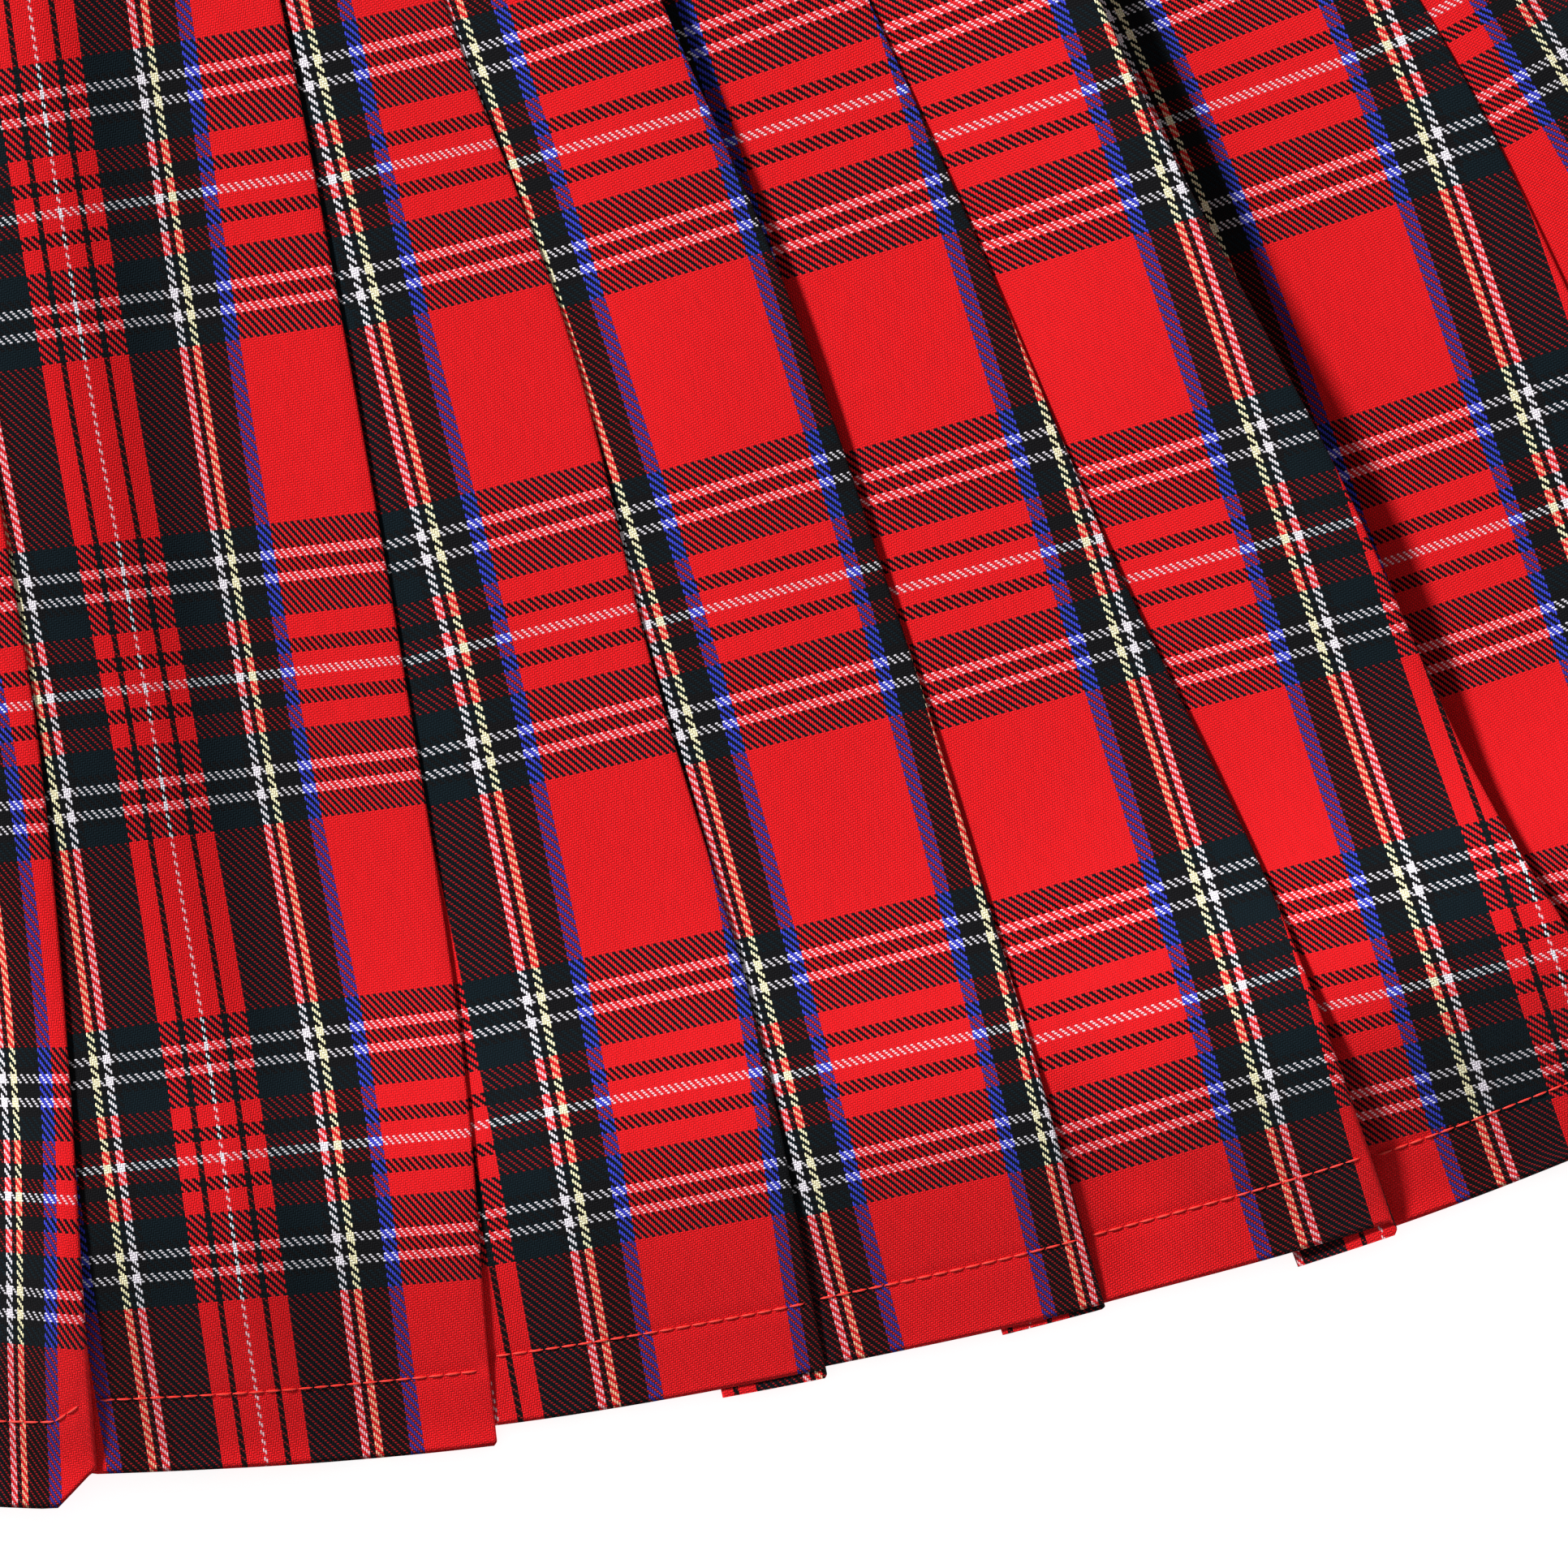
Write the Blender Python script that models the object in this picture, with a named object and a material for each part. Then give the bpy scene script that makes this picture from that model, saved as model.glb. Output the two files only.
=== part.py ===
"""A knife-pleated tartan skirt, laid flat with its front up and its waist towards +Y.

Metres, +Z up. The pleats fan out from one point above the waist, so every place on the skirt is given by an
angle from the middle line and a radius from that point. The panels lie on each other: the back panel with its
faces flat on the surface, the front panel on top. The origin is under the middle of the whole skirt's box.
"""
import math
from collections import namedtuple

import bmesh
import bpy

# Cloth
CLOTH = 0.0010
LAYER_STEP = 0.0014
SEAM_GAP = 0.0003
PANEL_GAP = 0.0004

# Fan of the laid skirt
FAN_POINT_Y = 0.45085
SIDE_ANGLE = 37.8
WAIST_RADIUS = 0.285
HEM_RADIUS = 0.6805
SIDE_RISE = 0.014
SIDE_RISE_ANGLE = 30.0

# Pleats: values run from waist to hem in even steps
UNDERLAY = (0.0190, 0.0230, 0.0210, 0.0195)
FRONT_SECTIONS = (0.0, 0.12, 0.30, 0.48, 0.66, 0.84, 1.0)
BACK_SECTIONS = (0.0, 0.25, 0.5, 0.75, 1.0)
STEP_UNDER_FOLD = 0.0012
FOLD_HEIGHT = 0.0040
BACK_JOG_START = 0.0008
BACK_JOG_END = 0.0040
SIDE_CLIMB = 0.0060

# Waistband and button
BAND_HEIGHT = 0.035
BAND_WALL = 0.0026
BAND_THICKNESS = 0.0088
BAND_LAP = 0.034
BAND_STEP_ANGLE = 2.7
BUTTON_RADIUS = 0.0075
BUTTON_THICKNESS = 0.0030
BUTTON_RIM = 0.0013
BUTTON_DISH = 0.0007
BUTTON_HOLE_RADIUS = 0.0009
BUTTON_HOLE_PITCH = 0.0028
BUTTON_INSET = 0.017

# One pleat fold of the front: angles in degrees at four places from waist to hem, the height that the fold stands
# off the pleat beneath it at those places, the depth of the roll at its edge, and how far the hem hangs past the
# even hem line where the face comes out from under its neighbour, at its fold, and at the underlay.
Fold = namedtuple("Fold", "angles lifts roll hem_start hem_fold hem_under")
FRONT_FOLDS = (
    Fold((-32.2, -31.9, -31.7, -31.5), (0.0, 0.0020, 0.0030, 0.0025), 0.0014, 0.0000, 0.0010, 0.0015),
    Fold((-26.9, -26.4, -26.1, -26.0), (0.0, 0.0010, 0.0015, 0.0030), 0.0014, 0.0005, 0.0015, 0.0010),
    Fold((-21.7, -21.3, -20.6, -20.4), (0.0, 0.0030, 0.0045, 0.0030), 0.0018, -0.0010, 0.0005, 0.0005),
    Fold((-16.4, -15.4, -15.1, -14.9), (0.0, 0.0015, 0.0020, 0.0020), 0.0014, -0.0010, 0.0010, 0.0010),
    Fold((-10.6, -10.4, -9.3, -9.2), (0.0, 0.0010, 0.0025, 0.0030), 0.0014, 0.0000, 0.0020, 0.0020),
    Fold((-4.8, -4.4, -3.9, -3.6), (0.0, 0.0020, 0.0020, 0.0025), 0.0016, 0.0010, 0.0040, 0.0030),
    Fold((1.0, 0.8, 1.95, 2.4), (0.0, 0.0020, 0.0040, 0.0050), 0.0040, 0.0040, 0.0070, 0.0035),
    Fold((6.9, 8.5, 8.85, 8.5), (0.0, 0.0030, 0.0030, 0.0025), 0.0016, 0.0020, 0.0025, 0.0010),
    Fold((11.7, 12.45, 13.75, 13.65), (0.0, 0.0025, 0.0020, 0.0020), 0.0014, -0.0010, -0.0012, 0.0005),
    Fold((16.7, 17.65, 18.35, 18.05), (0.0, 0.0045, 0.0035, 0.0035), 0.0016, -0.0016, -0.0010, 0.0000),
    Fold((21.8, 22.15, 22.5, 22.6), (0.0, 0.0015, 0.0030, 0.0045), 0.0018, -0.0010, 0.0002, 0.0025),
    Fold((26.9, 26.8, 26.75, 26.85), (0.0, 0.0070, 0.0100, 0.0060), 0.0020, 0.0014, 0.0020, 0.0025),
    Fold((32.2, 32.9, 32.3, 31.9), (0.0, 0.0010, 0.0020, 0.0030), 0.0014, 0.0010, 0.0015, 0.0010),
)

# The back's folds are pressed flat and run straight. Angles are counted as seen from below, from its left side.
BackFold = namedtuple("BackFold", "waist hem hem_drop")
BACK_FOLDS = (
    BackFold(-32.3, -32.0, 0.0010),
    BackFold(-26.9, -26.7, 0.0000),
    BackFold(-21.5, -21.2, 0.0015),
    BackFold(-16.1, -16.2, 0.0005),
    BackFold(-10.8, -10.6, 0.0000),
    BackFold(-5.4, -5.1, 0.0010),
    BackFold(0.1, 0.3, 0.0015),
    BackFold(5.4, 5.6, 0.0000),
    BackFold(10.8, 10.7, 0.0010),
    BackFold(16.2, 16.4, 0.0005),
    BackFold(21.6, 21.5, 0.0015),
    BackFold(27.0, 27.1, 0.0000),
    BackFold(32.4, 32.3, 0.0010),
)

# Heights of the layers' middles above the surface
BACK_LAYERS = tuple(CLOTH / 2 + LAYER_STEP * k for k in range(3))
FRONT_BASE = BACK_LAYERS[2] + CLOTH + PANEL_GAP

# Colours
TARTAN_RED = (0.45, 0.012, 0.014, 1.0)
BUTTON_BROWN = (0.030, 0.012, 0.010, 1.0)

Node = namedtuple("Node", "along height drop")


def clear_scene():
    for old in list(bpy.data.objects):
        bpy.data.objects.remove(old, do_unlink=True)


def cloth_material(name, colour, roughness):
    material = bpy.data.materials.new(name)
    material.use_nodes = True
    shader = material.node_tree.nodes["Principled BSDF"]
    shader.inputs["Base Color"].default_value = colour
    shader.inputs["Roughness"].default_value = roughness
    shader.inputs["Metallic"].default_value = 0.0
    return material


def along(values, place):
    """A smooth curve through values set at even steps from waist (0) to hem (1)."""
    steps = len(values) - 1
    spot = min(max(place, 0.0), 1.0) * steps
    k = min(int(spot), steps - 1)
    f = spot - k
    before, start, end, after = values[max(k - 1, 0)], values[k], values[k + 1], values[min(k + 2, steps)]
    bend = 2 * before - 5 * start + 4 * end - after
    twist = 3 * start - before - 3 * end + after
    return 0.5 * (2 * start + (end - before) * f + bend * f ** 2 + twist * f ** 3)


def side_rise(angle):
    """How much further from the fan's point the waist and the hem lie away from the middle line."""
    return SIDE_RISE * (angle / SIDE_RISE_ANGLE) ** 2


def waist_radius(angle):
    return WAIST_RADIUS + side_rise(angle)


def radius_at(angle, place, drop=0.0):
    top = waist_radius(angle)
    hem = HEM_RADIUS + side_rise(angle)
    return top + (hem - top) * place + drop * place ** 2


def fan_point(angle, radius, height):
    turn = math.radians(angle)
    return (radius * math.sin(turn), FAN_POINT_Y - radius * math.cos(turn), height)


def to_arc(angle, place):
    return math.radians(angle) * radius_at(angle, place)


def from_arc(arc, place):
    """The angle whose arc at this section is the given length; the radius varies slowly, so a few turns settle it."""
    angle = math.degrees(arc / radius_at(0.0, place))
    for _ in range(8):
        angle = math.degrees(arc / radius_at(angle, place))
    return angle


def offset_sides(path, half):
    """Moves a path of nodes out to both sides in the (along, height) plane; returns the two sides."""
    left, right = [], []
    for k, node in enumerate(path):
        before = path[max(k - 1, 0)]
        after = path[min(k + 1, len(path) - 1)]
        back = unit(node.along - before.along, node.height - before.height) if k else None
        ahead = unit(after.along - node.along, after.height - node.height) if k < len(path) - 1 else None
        back = back or ahead
        ahead = ahead or back
        normal = unit(-(back[1] + ahead[1]), back[0] + ahead[0])
        reach = half / max(0.6, normal[1] * back[0] - normal[0] * back[1])
        left.append(node._replace(along=node.along + normal[0] * reach, height=node.height + normal[1] * reach))
        right.append(node._replace(along=node.along - normal[0] * reach, height=node.height - normal[1] * reach))
    return left, right


def unit(x, y):
    length = math.hypot(x, y)
    return (x / length, y / length)


def wall(name, rows, material):
    """A closed wall from rows of paired points: each row is one section, each pair the two sides of the cloth."""
    mesh = bmesh.new()
    grid = [[(mesh.verts.new(a), mesh.verts.new(b)) for a, b in row] for row in rows]
    for upper, lower in zip(grid, grid[1:]):
        for k in range(len(upper) - 1):
            mesh.faces.new((upper[k][0], upper[k + 1][0], lower[k + 1][0], lower[k][0]))
            mesh.faces.new((upper[k][1], lower[k][1], lower[k + 1][1], upper[k + 1][1]))
    for row in (grid[0], grid[-1]):
        for one, two in zip(row, row[1:]):
            mesh.faces.new((one[0], one[1], two[1], two[0]))
    for k in (0, -1):
        for upper, lower in zip(grid, grid[1:]):
            mesh.faces.new((upper[k][0], lower[k][0], lower[k][1], upper[k][1]))
    bmesh.ops.recalc_face_normals(mesh, faces=mesh.faces)
    bmesh.ops.triangulate(mesh, faces=mesh.faces)
    return make_object(name, mesh, material)


def make_object(name, mesh, material):
    data = bpy.data.meshes.new(name)
    mesh.to_mesh(data)
    mesh.free()
    data.materials.append(material)
    made = bpy.data.objects.new(name, data)
    bpy.context.collection.objects.link(made)
    data.shade_smooth()
    data.set_sharp_from_angle(angle=math.radians(40))
    return made


def soft_step(value):
    return value * value * (3 - 2 * value)


def front_path(place):
    """The front cloth's middle line at one section: each face rises from under its neighbour to its own fold."""
    under = along(UNDERLAY, place)
    tip = LAYER_STEP / 2
    left = to_arc(-SIDE_ANGLE, place)
    right = to_arc(SIDE_ANGLE, place)
    path = [Node(left, FRONT_BASE, 0.0)]
    previous = left
    for fold in FRONT_FOLDS:
        edge = to_arc(along(fold.angles, place), place)
        lift = along(fold.lifts, place)
        roll = LAYER_STEP + (fold.roll - LAYER_STEP) * place
        inner = edge - under
        low = FRONT_BASE + (STEP_UNDER_FOLD if previous > left else 0.0)
        lap = FRONT_BASE + 2 * LAYER_STEP + lift / 2
        top = FRONT_BASE + FOLD_HEIGHT + lift
        if previous > left:
            path.append(Node(previous, low, fold.hem_start))
        for share in (0.35, 0.7):
            height = low + (lap - low) * soft_step(share)
            path.append(Node(previous + (inner - previous) * share, height, fold.hem_start))
        path.append(Node(inner, lap, (fold.hem_start + fold.hem_fold) / 2))
        path.append(Node(edge - roll / 2, top, fold.hem_fold))
        path.append(Node(edge, top - roll / 2, fold.hem_fold))
        path.append(Node(edge - roll / 2, top - roll, fold.hem_under))
        path.append(Node(inner + tip, FRONT_BASE + LAYER_STEP, fold.hem_under))
        path.append(Node(inner, FRONT_BASE + tip, fold.hem_under))
        path.append(Node(inner + tip, FRONT_BASE, fold.hem_under))
        previous = edge
    path.append(Node(previous, FRONT_BASE + STEP_UNDER_FOLD, 0.0))
    path.append(Node((previous + right) / 2, FRONT_BASE + STEP_UNDER_FOLD, 0.0))
    path.append(Node(right, FRONT_BASE, 0.0))
    return path


def back_path(place):
    """The back cloth's middle line at one section, as seen from below: faces flat, underlays stacked inside."""
    under = along(UNDERLAY, place)
    tip = LAYER_STEP / 2
    outer, middle, inside = BACK_LAYERS
    left = to_arc(-SIDE_ANGLE, place)
    right = to_arc(SIDE_ANGLE, place)
    path = [Node(left, inside, 0.0), Node(left + SIDE_CLIMB, outer, 0.0)]
    for fold in BACK_FOLDS:
        edge = to_arc(fold.waist + (fold.hem - fold.waist) * place, place)
        inner = edge - under
        path.append(Node(edge - tip, outer, fold.hem_drop))
        path.append(Node(edge, outer + tip, fold.hem_drop))
        path.append(Node(edge - tip, middle, fold.hem_drop))
        path.append(Node(inner + tip, middle, fold.hem_drop))
        path.append(Node(inner, middle + tip, fold.hem_drop))
        path.append(Node(inner + tip, inside, fold.hem_drop))
        path.append(Node(edge + BACK_JOG_START, inside, fold.hem_drop))
        path.append(Node(edge + BACK_JOG_END, outer, fold.hem_drop))
    path.append(Node(right - SIDE_CLIMB, outer, 0.0))
    path.append(Node(right, inside, 0.0))
    return path


def panel_row(path, place, mirror=1.0):
    pairs = []
    for one, two in zip(*offset_sides(path, CLOTH / 2)):
        points = []
        for node in (one, two):
            angle = from_arc(node.along, place)
            points.append(fan_point(mirror * angle, radius_at(angle, place, node.drop), node.height))
        pairs.append(tuple(points))
    return pairs


def build_front_panel(material):
    rows = [panel_row(front_path(place), place) for place in FRONT_SECTIONS]
    return wall("front_panel", rows, material)


def build_back_panel(material):
    rows = [panel_row(back_path(place), place, mirror=-1.0) for place in BACK_SECTIONS]
    return wall("back_panel", rows, material)


def turn_points(along_at, low, high, side, steps):
    """A half round turn of the band from one height to another, bulging to one side."""
    radius = (high - low) / 2
    points = []
    for k in range(steps + 1):
        turn = math.pi * k / steps
        points.append(Node(along_at + side * abs(radius) * math.sin(turn), low + radius * (1 - math.cos(turn)), 0.0))
    return points


def band_path():
    """The band's middle line: front layer, left turn, back layer, right turn, and the lap under the front's end."""
    bottom = BAND_WALL / 2
    top = BAND_THICKNESS - BAND_WALL / 2
    lap = (bottom + top) / 2
    reach = math.radians(SIDE_ANGLE) * waist_radius(SIDE_ANGLE)
    count = round(2 * SIDE_ANGLE / BAND_STEP_ANGLE)
    stations = [reach * (1 - 2 * k / count) for k in range(count + 1)]
    turn_in = top / 2
    path = [Node(s, top, 0.0) for s in stations[:-1]]
    path += turn_points(-reach + turn_in, top, bottom, -1.0, 6)
    path += [Node(s, bottom, 0.0) for s in reversed(stations[1:-1])]
    path += turn_points(reach - turn_in, bottom, lap, 1.0, 4)
    path += [Node(reach - turn_in - BAND_LAP * share, lap, 0.0) for share in (0.5, 1.0)]
    return path


def build_waistband(material):
    """A strip bent along the waist: its lower edge is a seam's gap above the panels' upper edge."""
    sides = offset_sides(band_path(), BAND_WALL / 2)
    rows = []
    for inset in (BAND_HEIGHT + SEAM_GAP, SEAM_GAP):
        row = []
        for one, two in zip(*sides):
            points = []
            for node in (one, two):
                angle = from_arc(node.along, 0.0)
                points.append(fan_point(angle, waist_radius(angle) - inset, node.height))
            row.append(tuple(points))
        rows.append(row)
    return wall("waistband", rows, material)


def build_waist_button(material):
    """A turned four-hole button that lies on the band's lapped end."""
    profile = (
        (0.0, 0.0),
        (BUTTON_RADIUS * 0.86, 0.0),
        (BUTTON_RADIUS, BUTTON_THICKNESS * 0.45),
        (BUTTON_RADIUS - BUTTON_RIM * 0.35, BUTTON_THICKNESS),
        (BUTTON_RADIUS - BUTTON_RIM, BUTTON_THICKNESS),
        (BUTTON_RADIUS - BUTTON_RIM * 1.6, BUTTON_THICKNESS - BUTTON_DISH),
        (0.0, BUTTON_THICKNESS - BUTTON_DISH),
    )
    mesh = bmesh.new()
    turned = [mesh.verts.new((x, 0.0, z)) for x, z in profile]
    edges = [mesh.edges.new(pair) for pair in zip(turned, turned[1:])]
    bmesh.ops.spin(mesh, geom=turned + edges, cent=(0, 0, 0), axis=(0, 0, 1), angle=math.tau, steps=24)
    bmesh.ops.remove_doubles(mesh, verts=mesh.verts, dist=0.00001)
    bmesh.ops.recalc_face_normals(mesh, faces=mesh.faces)
    button = make_object("waist_button", mesh, material)
    angle = SIDE_ANGLE - math.degrees(BUTTON_INSET / waist_radius(SIDE_ANGLE))
    middle = waist_radius(angle) - SEAM_GAP - BAND_HEIGHT / 2
    button.location = fan_point(angle, middle, BAND_THICKNESS + SEAM_GAP)
    half = BUTTON_HOLE_PITCH / 2
    for k, (x, y) in enumerate(((half, half), (-half, half), (-half, -half), (half, -half))):
        cut_hole(button, k, x, y)
    return button


def cut_hole(button, number, x, y):
    bpy.ops.mesh.primitive_cylinder_add(vertices=10, radius=BUTTON_HOLE_RADIUS, depth=4 * BUTTON_THICKNESS)
    cutter = bpy.context.active_object
    cutter.name = f"button_hole_{number}"
    cutter.parent = button
    cutter.location = (x, y, BUTTON_THICKNESS / 2)
    cutter.hide_render = True
    cutter.display_type = "WIRE"
    cut = button.modifiers.new(f"hole_{number}", "BOOLEAN")
    cut.operation = "DIFFERENCE"
    cut.object = cutter


def main():
    clear_scene()
    tartan = cloth_material("red_tartan_twill", TARTAN_RED, 0.85)
    build_front_panel(tartan)
    build_back_panel(tartan)
    build_waistband(tartan)
    build_waist_button(cloth_material("moulded_polyester", BUTTON_BROWN, 0.35))


main()
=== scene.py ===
"""The looks of a knife-pleated tartan skirt, laid flat with its front up and its waist towards +Y.

Metres, +Z up, in the frame of the solids. The pleats fan out from one point above the waist, so every
place on the skirt is an angle from the middle line and a radius from that point, or a share of the way
from waist (0) to hem (1). Each panel is one thin sheet of cloth that runs through all its pleats, and every
point of it carries its place in the cloth, counted in threads, so the tartan bends, slants and hides with it.
"""

import math
from collections import namedtuple

import bpy
import numpy as np
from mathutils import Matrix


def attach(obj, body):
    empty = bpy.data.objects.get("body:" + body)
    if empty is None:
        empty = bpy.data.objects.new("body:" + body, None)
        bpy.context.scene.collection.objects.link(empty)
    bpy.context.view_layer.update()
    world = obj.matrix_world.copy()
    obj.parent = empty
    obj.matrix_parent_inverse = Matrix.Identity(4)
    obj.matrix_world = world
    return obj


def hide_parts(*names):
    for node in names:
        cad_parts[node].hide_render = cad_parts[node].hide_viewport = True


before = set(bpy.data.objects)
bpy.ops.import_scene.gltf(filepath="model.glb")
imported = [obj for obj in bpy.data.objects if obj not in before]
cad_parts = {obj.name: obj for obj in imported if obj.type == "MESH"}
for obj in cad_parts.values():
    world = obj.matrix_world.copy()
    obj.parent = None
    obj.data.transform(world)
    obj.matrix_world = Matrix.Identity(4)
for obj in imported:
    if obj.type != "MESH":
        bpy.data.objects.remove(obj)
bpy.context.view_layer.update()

# Fan of the laid skirt
FAN_POINT_Y = 0.45085
SIDE_ANGLE = 37.8
WAIST_RADIUS = 0.285
HEM_RADIUS = 0.6805
SIDE_RISE = 0.014
SIDE_RISE_ANGLE = 30.0

# Cloth: threads of the twill and layers of the pleats
END_PITCH = 0.0003235
PICK_PITCH = 0.0004115
PICK_SPREAD = 0.20
LAYER_STEP = 0.0011
BACK_FACE_HEIGHT = 0.0008
FRONT_BASE = 0.0047
UNDERLAY = (0.0190, 0.0230, 0.0210, 0.0195)
STEP_UNDER_FOLD = 0.0009
FOLD_HEIGHT = 0.0032
SLOPE_KEPT_AT_FOLD = 0.3
ROLL_GROWTH = 12
DROP_GROWTH = 14
HEM_CORNER_LENGTH = 0.0060
BACK_JOG = 0.0040
SIDE_CLIMB = 0.0060

# Sewing
HEM_STITCH_HEIGHT = 0.0130
TURN_UP_HEIGHT = 0.0150
TURN_UP_DEPTH = 0.00012
HEM_BOW_LENGTH = 0.032
HEM_BOW = 0.60
BOW_EASE = 0.85
HEM_SWELL = 0.0075
SWELL_MIDDLE = 0.043
SWELL_WIDTH = 0.026
SWELL_FADE_ANGLE = 4.0
SWELL_START = 0.25
BAND_STITCH_DENT = 0.66
STITCH_DENT = 0.00035
STITCH_DENT_WIDTH = 0.0012
STITCH_PITCH = 0.0030
STITCH_LENGTH = 0.0026
THREAD_WIDTH = 0.00042
STITCH_LIFT = 0.3 * THREAD_WIDTH
STITCH_ARCH = 0.25 * THREAD_WIDTH
EDGE_STITCH_INSET = 0.0022

# Creases: how far they fade past their ends, and as shares of a face how far from its two sides
CREASE_PAST_END = 0.15
CREASE_FADE = 0.3
CREASE_FROM_NEIGHBOUR = 0.06
CREASE_FROM_FOLD = 0.10

# Waistband and button
SEAM_GAP = 0.0003
BAND_HEIGHT = 0.035
BAND_WALL = 0.0024
BAND_THICKNESS = 0.0088
BAND_LAP = 0.034
TUCK_INTO_BAND = 0.004
TUCK_SLOPE = 0.014
TUCK_LOW = 0.0030
TUCK_HIGH = 0.0058
TUCK_LIMIT = 1.1
BAND_EDGE_ANGLES = (0.6, 1.1, 1.57, 2.04, 2.54)
BAND_EDGE_ROUND = 0.94
BAND_EDGE_OUT = 0.90
BAND_FLAT_INSET = 0.0045
BAND_INNER_SHARE = 0.35
BAND_STATIONS = 110
BAND_TURN_STEPS = 12
LAP_TURN_STEPS = 8
LAP_STATIONS = 10
BUTTON_RADIUS = 0.0075
BUTTON_THICKNESS = 0.0030
BUTTON_RIM = 0.0013
BUTTON_DISH = 0.0007
BUTTON_HOLE_RADIUS = 0.0009
BUTTON_HOLE_PITCH = 0.0028
BUTTON_INSET = 0.017
BUTTON_BACK = ((0.0, 0.0), (0.80, 0.0), (0.90, 0.08), (0.97, 0.28), (1.0, 0.5))
BUTTON_SIDES = 64
BUTTON_RIM_POINTS = 9
BUTTON_HOLE_SIDES = 20
BUTTON_SHARP_ANGLE = 40
BUTTON_STRANDS = (-0.00045, -0.00015, 0.00015, 0.00045)
BUTTON_STRAND_LIFT = 0.0002
BUTTONHOLE_LENGTH = 0.018
BUTTONHOLE_START = 0.003
SLIT_HALF_WIDTH = 0.0003
SATIN_PITCH = 0.0004
SATIN_LENGTH = 0.0016
SATIN_LIFT = 0.2 * THREAD_WIDTH
TACK_INSET = 0.0002
TACK_STITCHES = 3
TACK_PITCH = 0.0003
TACK_HALF_LENGTH = 0.0019

# Light
LAMP_STRENGTH = 5.3
LAMP_WIDTH = 8.0
LAMP_DIRECTION = (-0.64, 0.56, 0.68)
SURROUND_STRENGTH = 0.26

# Colours, sRGB
RED = "#ef2028"
WHITE = "#fdf8ff"
YELLOW = "#fff6c6"
BLUE = "#3c44cc"
GREEN = "#07171e"
BLACK = "#0e0e11"
THREAD_RED = "#ff2a16"
THREAD_BROWN = "#3a1716"
BUTTON_BROWN = "#34120f"
FLOOR_WHITE = "#fbfbfb"

# The tartan's stripes as colour and threads, from its white middle line to the middle of the big red
WARP_SETT = (("white", 1), ("red", 9), ("black", 3), ("red", 10), ("green", 23), ("black", 4), ("white", 4),
             ("black", 3), ("yellow", 4), ("black", 14), ("blue", 8), ("red", 41))
WEFT_SETT = (("white", 2), ("red", 6), ("black", 6), ("red", 10), ("green", 10), ("black", 4), ("white", 4),
             ("black", 6), ("white", 4), ("black", 3), ("green", 8), ("red", 39))
YARN_COLOURS = {"white": WHITE, "red": RED, "black": BLACK, "green": GREEN, "yellow": YELLOW, "blue": BLUE}

# How bright each colour's floats stay over a darker yarn, a painted shade from the raised dark yarns beside them,
# and how much of the under yarn's tint they take
END_BRIGHTNESS = {"white": 0.85, "red": 0.96, "black": 1.0, "green": 1.0, "yellow": 1.0, "blue": 1.0}
PICK_BRIGHTNESS = {"white": 0.62, "red": 0.36, "black": 1.0, "green": 1.0}
TINT_BY_LIGHT = 2.4
DARK_YARN_LIGHT = 0.05
GAP_SHADOW = 0.90

# Round section of the floats, and how large the beads of a bright pick are
SIDE_ROUNDING = 0.5
TIP_ROUNDING = 0.35
BEAD_BY_BRIGHTNESS = 1.2
LEAST_BEAD = 0.02

# Threads of the stripes that each face is set by
WARP_HALF = sum(count for _, count in WARP_SETT)
BLUE_LEFT = 79
BLUE_RIGHT = 2 * WARP_HALF - BLUE_LEFT
WHITE_LINE = 0


def straight(waist, hem):
    """Seven angles on a straight line from waist to hem."""
    return tuple(waist + (hem - waist) * k / 6 for k in range(7))


# One pleat of the front. Several values stand for even places from waist to hem. fold: the angle of its fold.
# lifts: how much higher than FOLD_HEIGHT the fold stands. roll: the depth of the fold's edge at the hem.
# hem_start, hem_fold, hem_under: how far it hangs past the even hem line where it comes out from under its
# neighbour, at its fold, and at its underlay. stripe: the angle of one stripe of the tartan, whose thread
# number is stripe_end. spread: the ends' pitch against the mean, left and right of that stripe. weft_line:
# height of the lowest white weft line over the even hem line, as the picks at each place count it. skew:
# degrees that the picks fall to the right. corner: how far the hem's corner is drawn back at the fold.
Pleat = namedtuple("Pleat", "fold lifts roll hem_start hem_fold hem_under stripe stripe_end spread weft_line skew"
                            " corner", defaults=(0.0,))
EVEN = ((1.0, 1.0), (1.0, 1.0))
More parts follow.
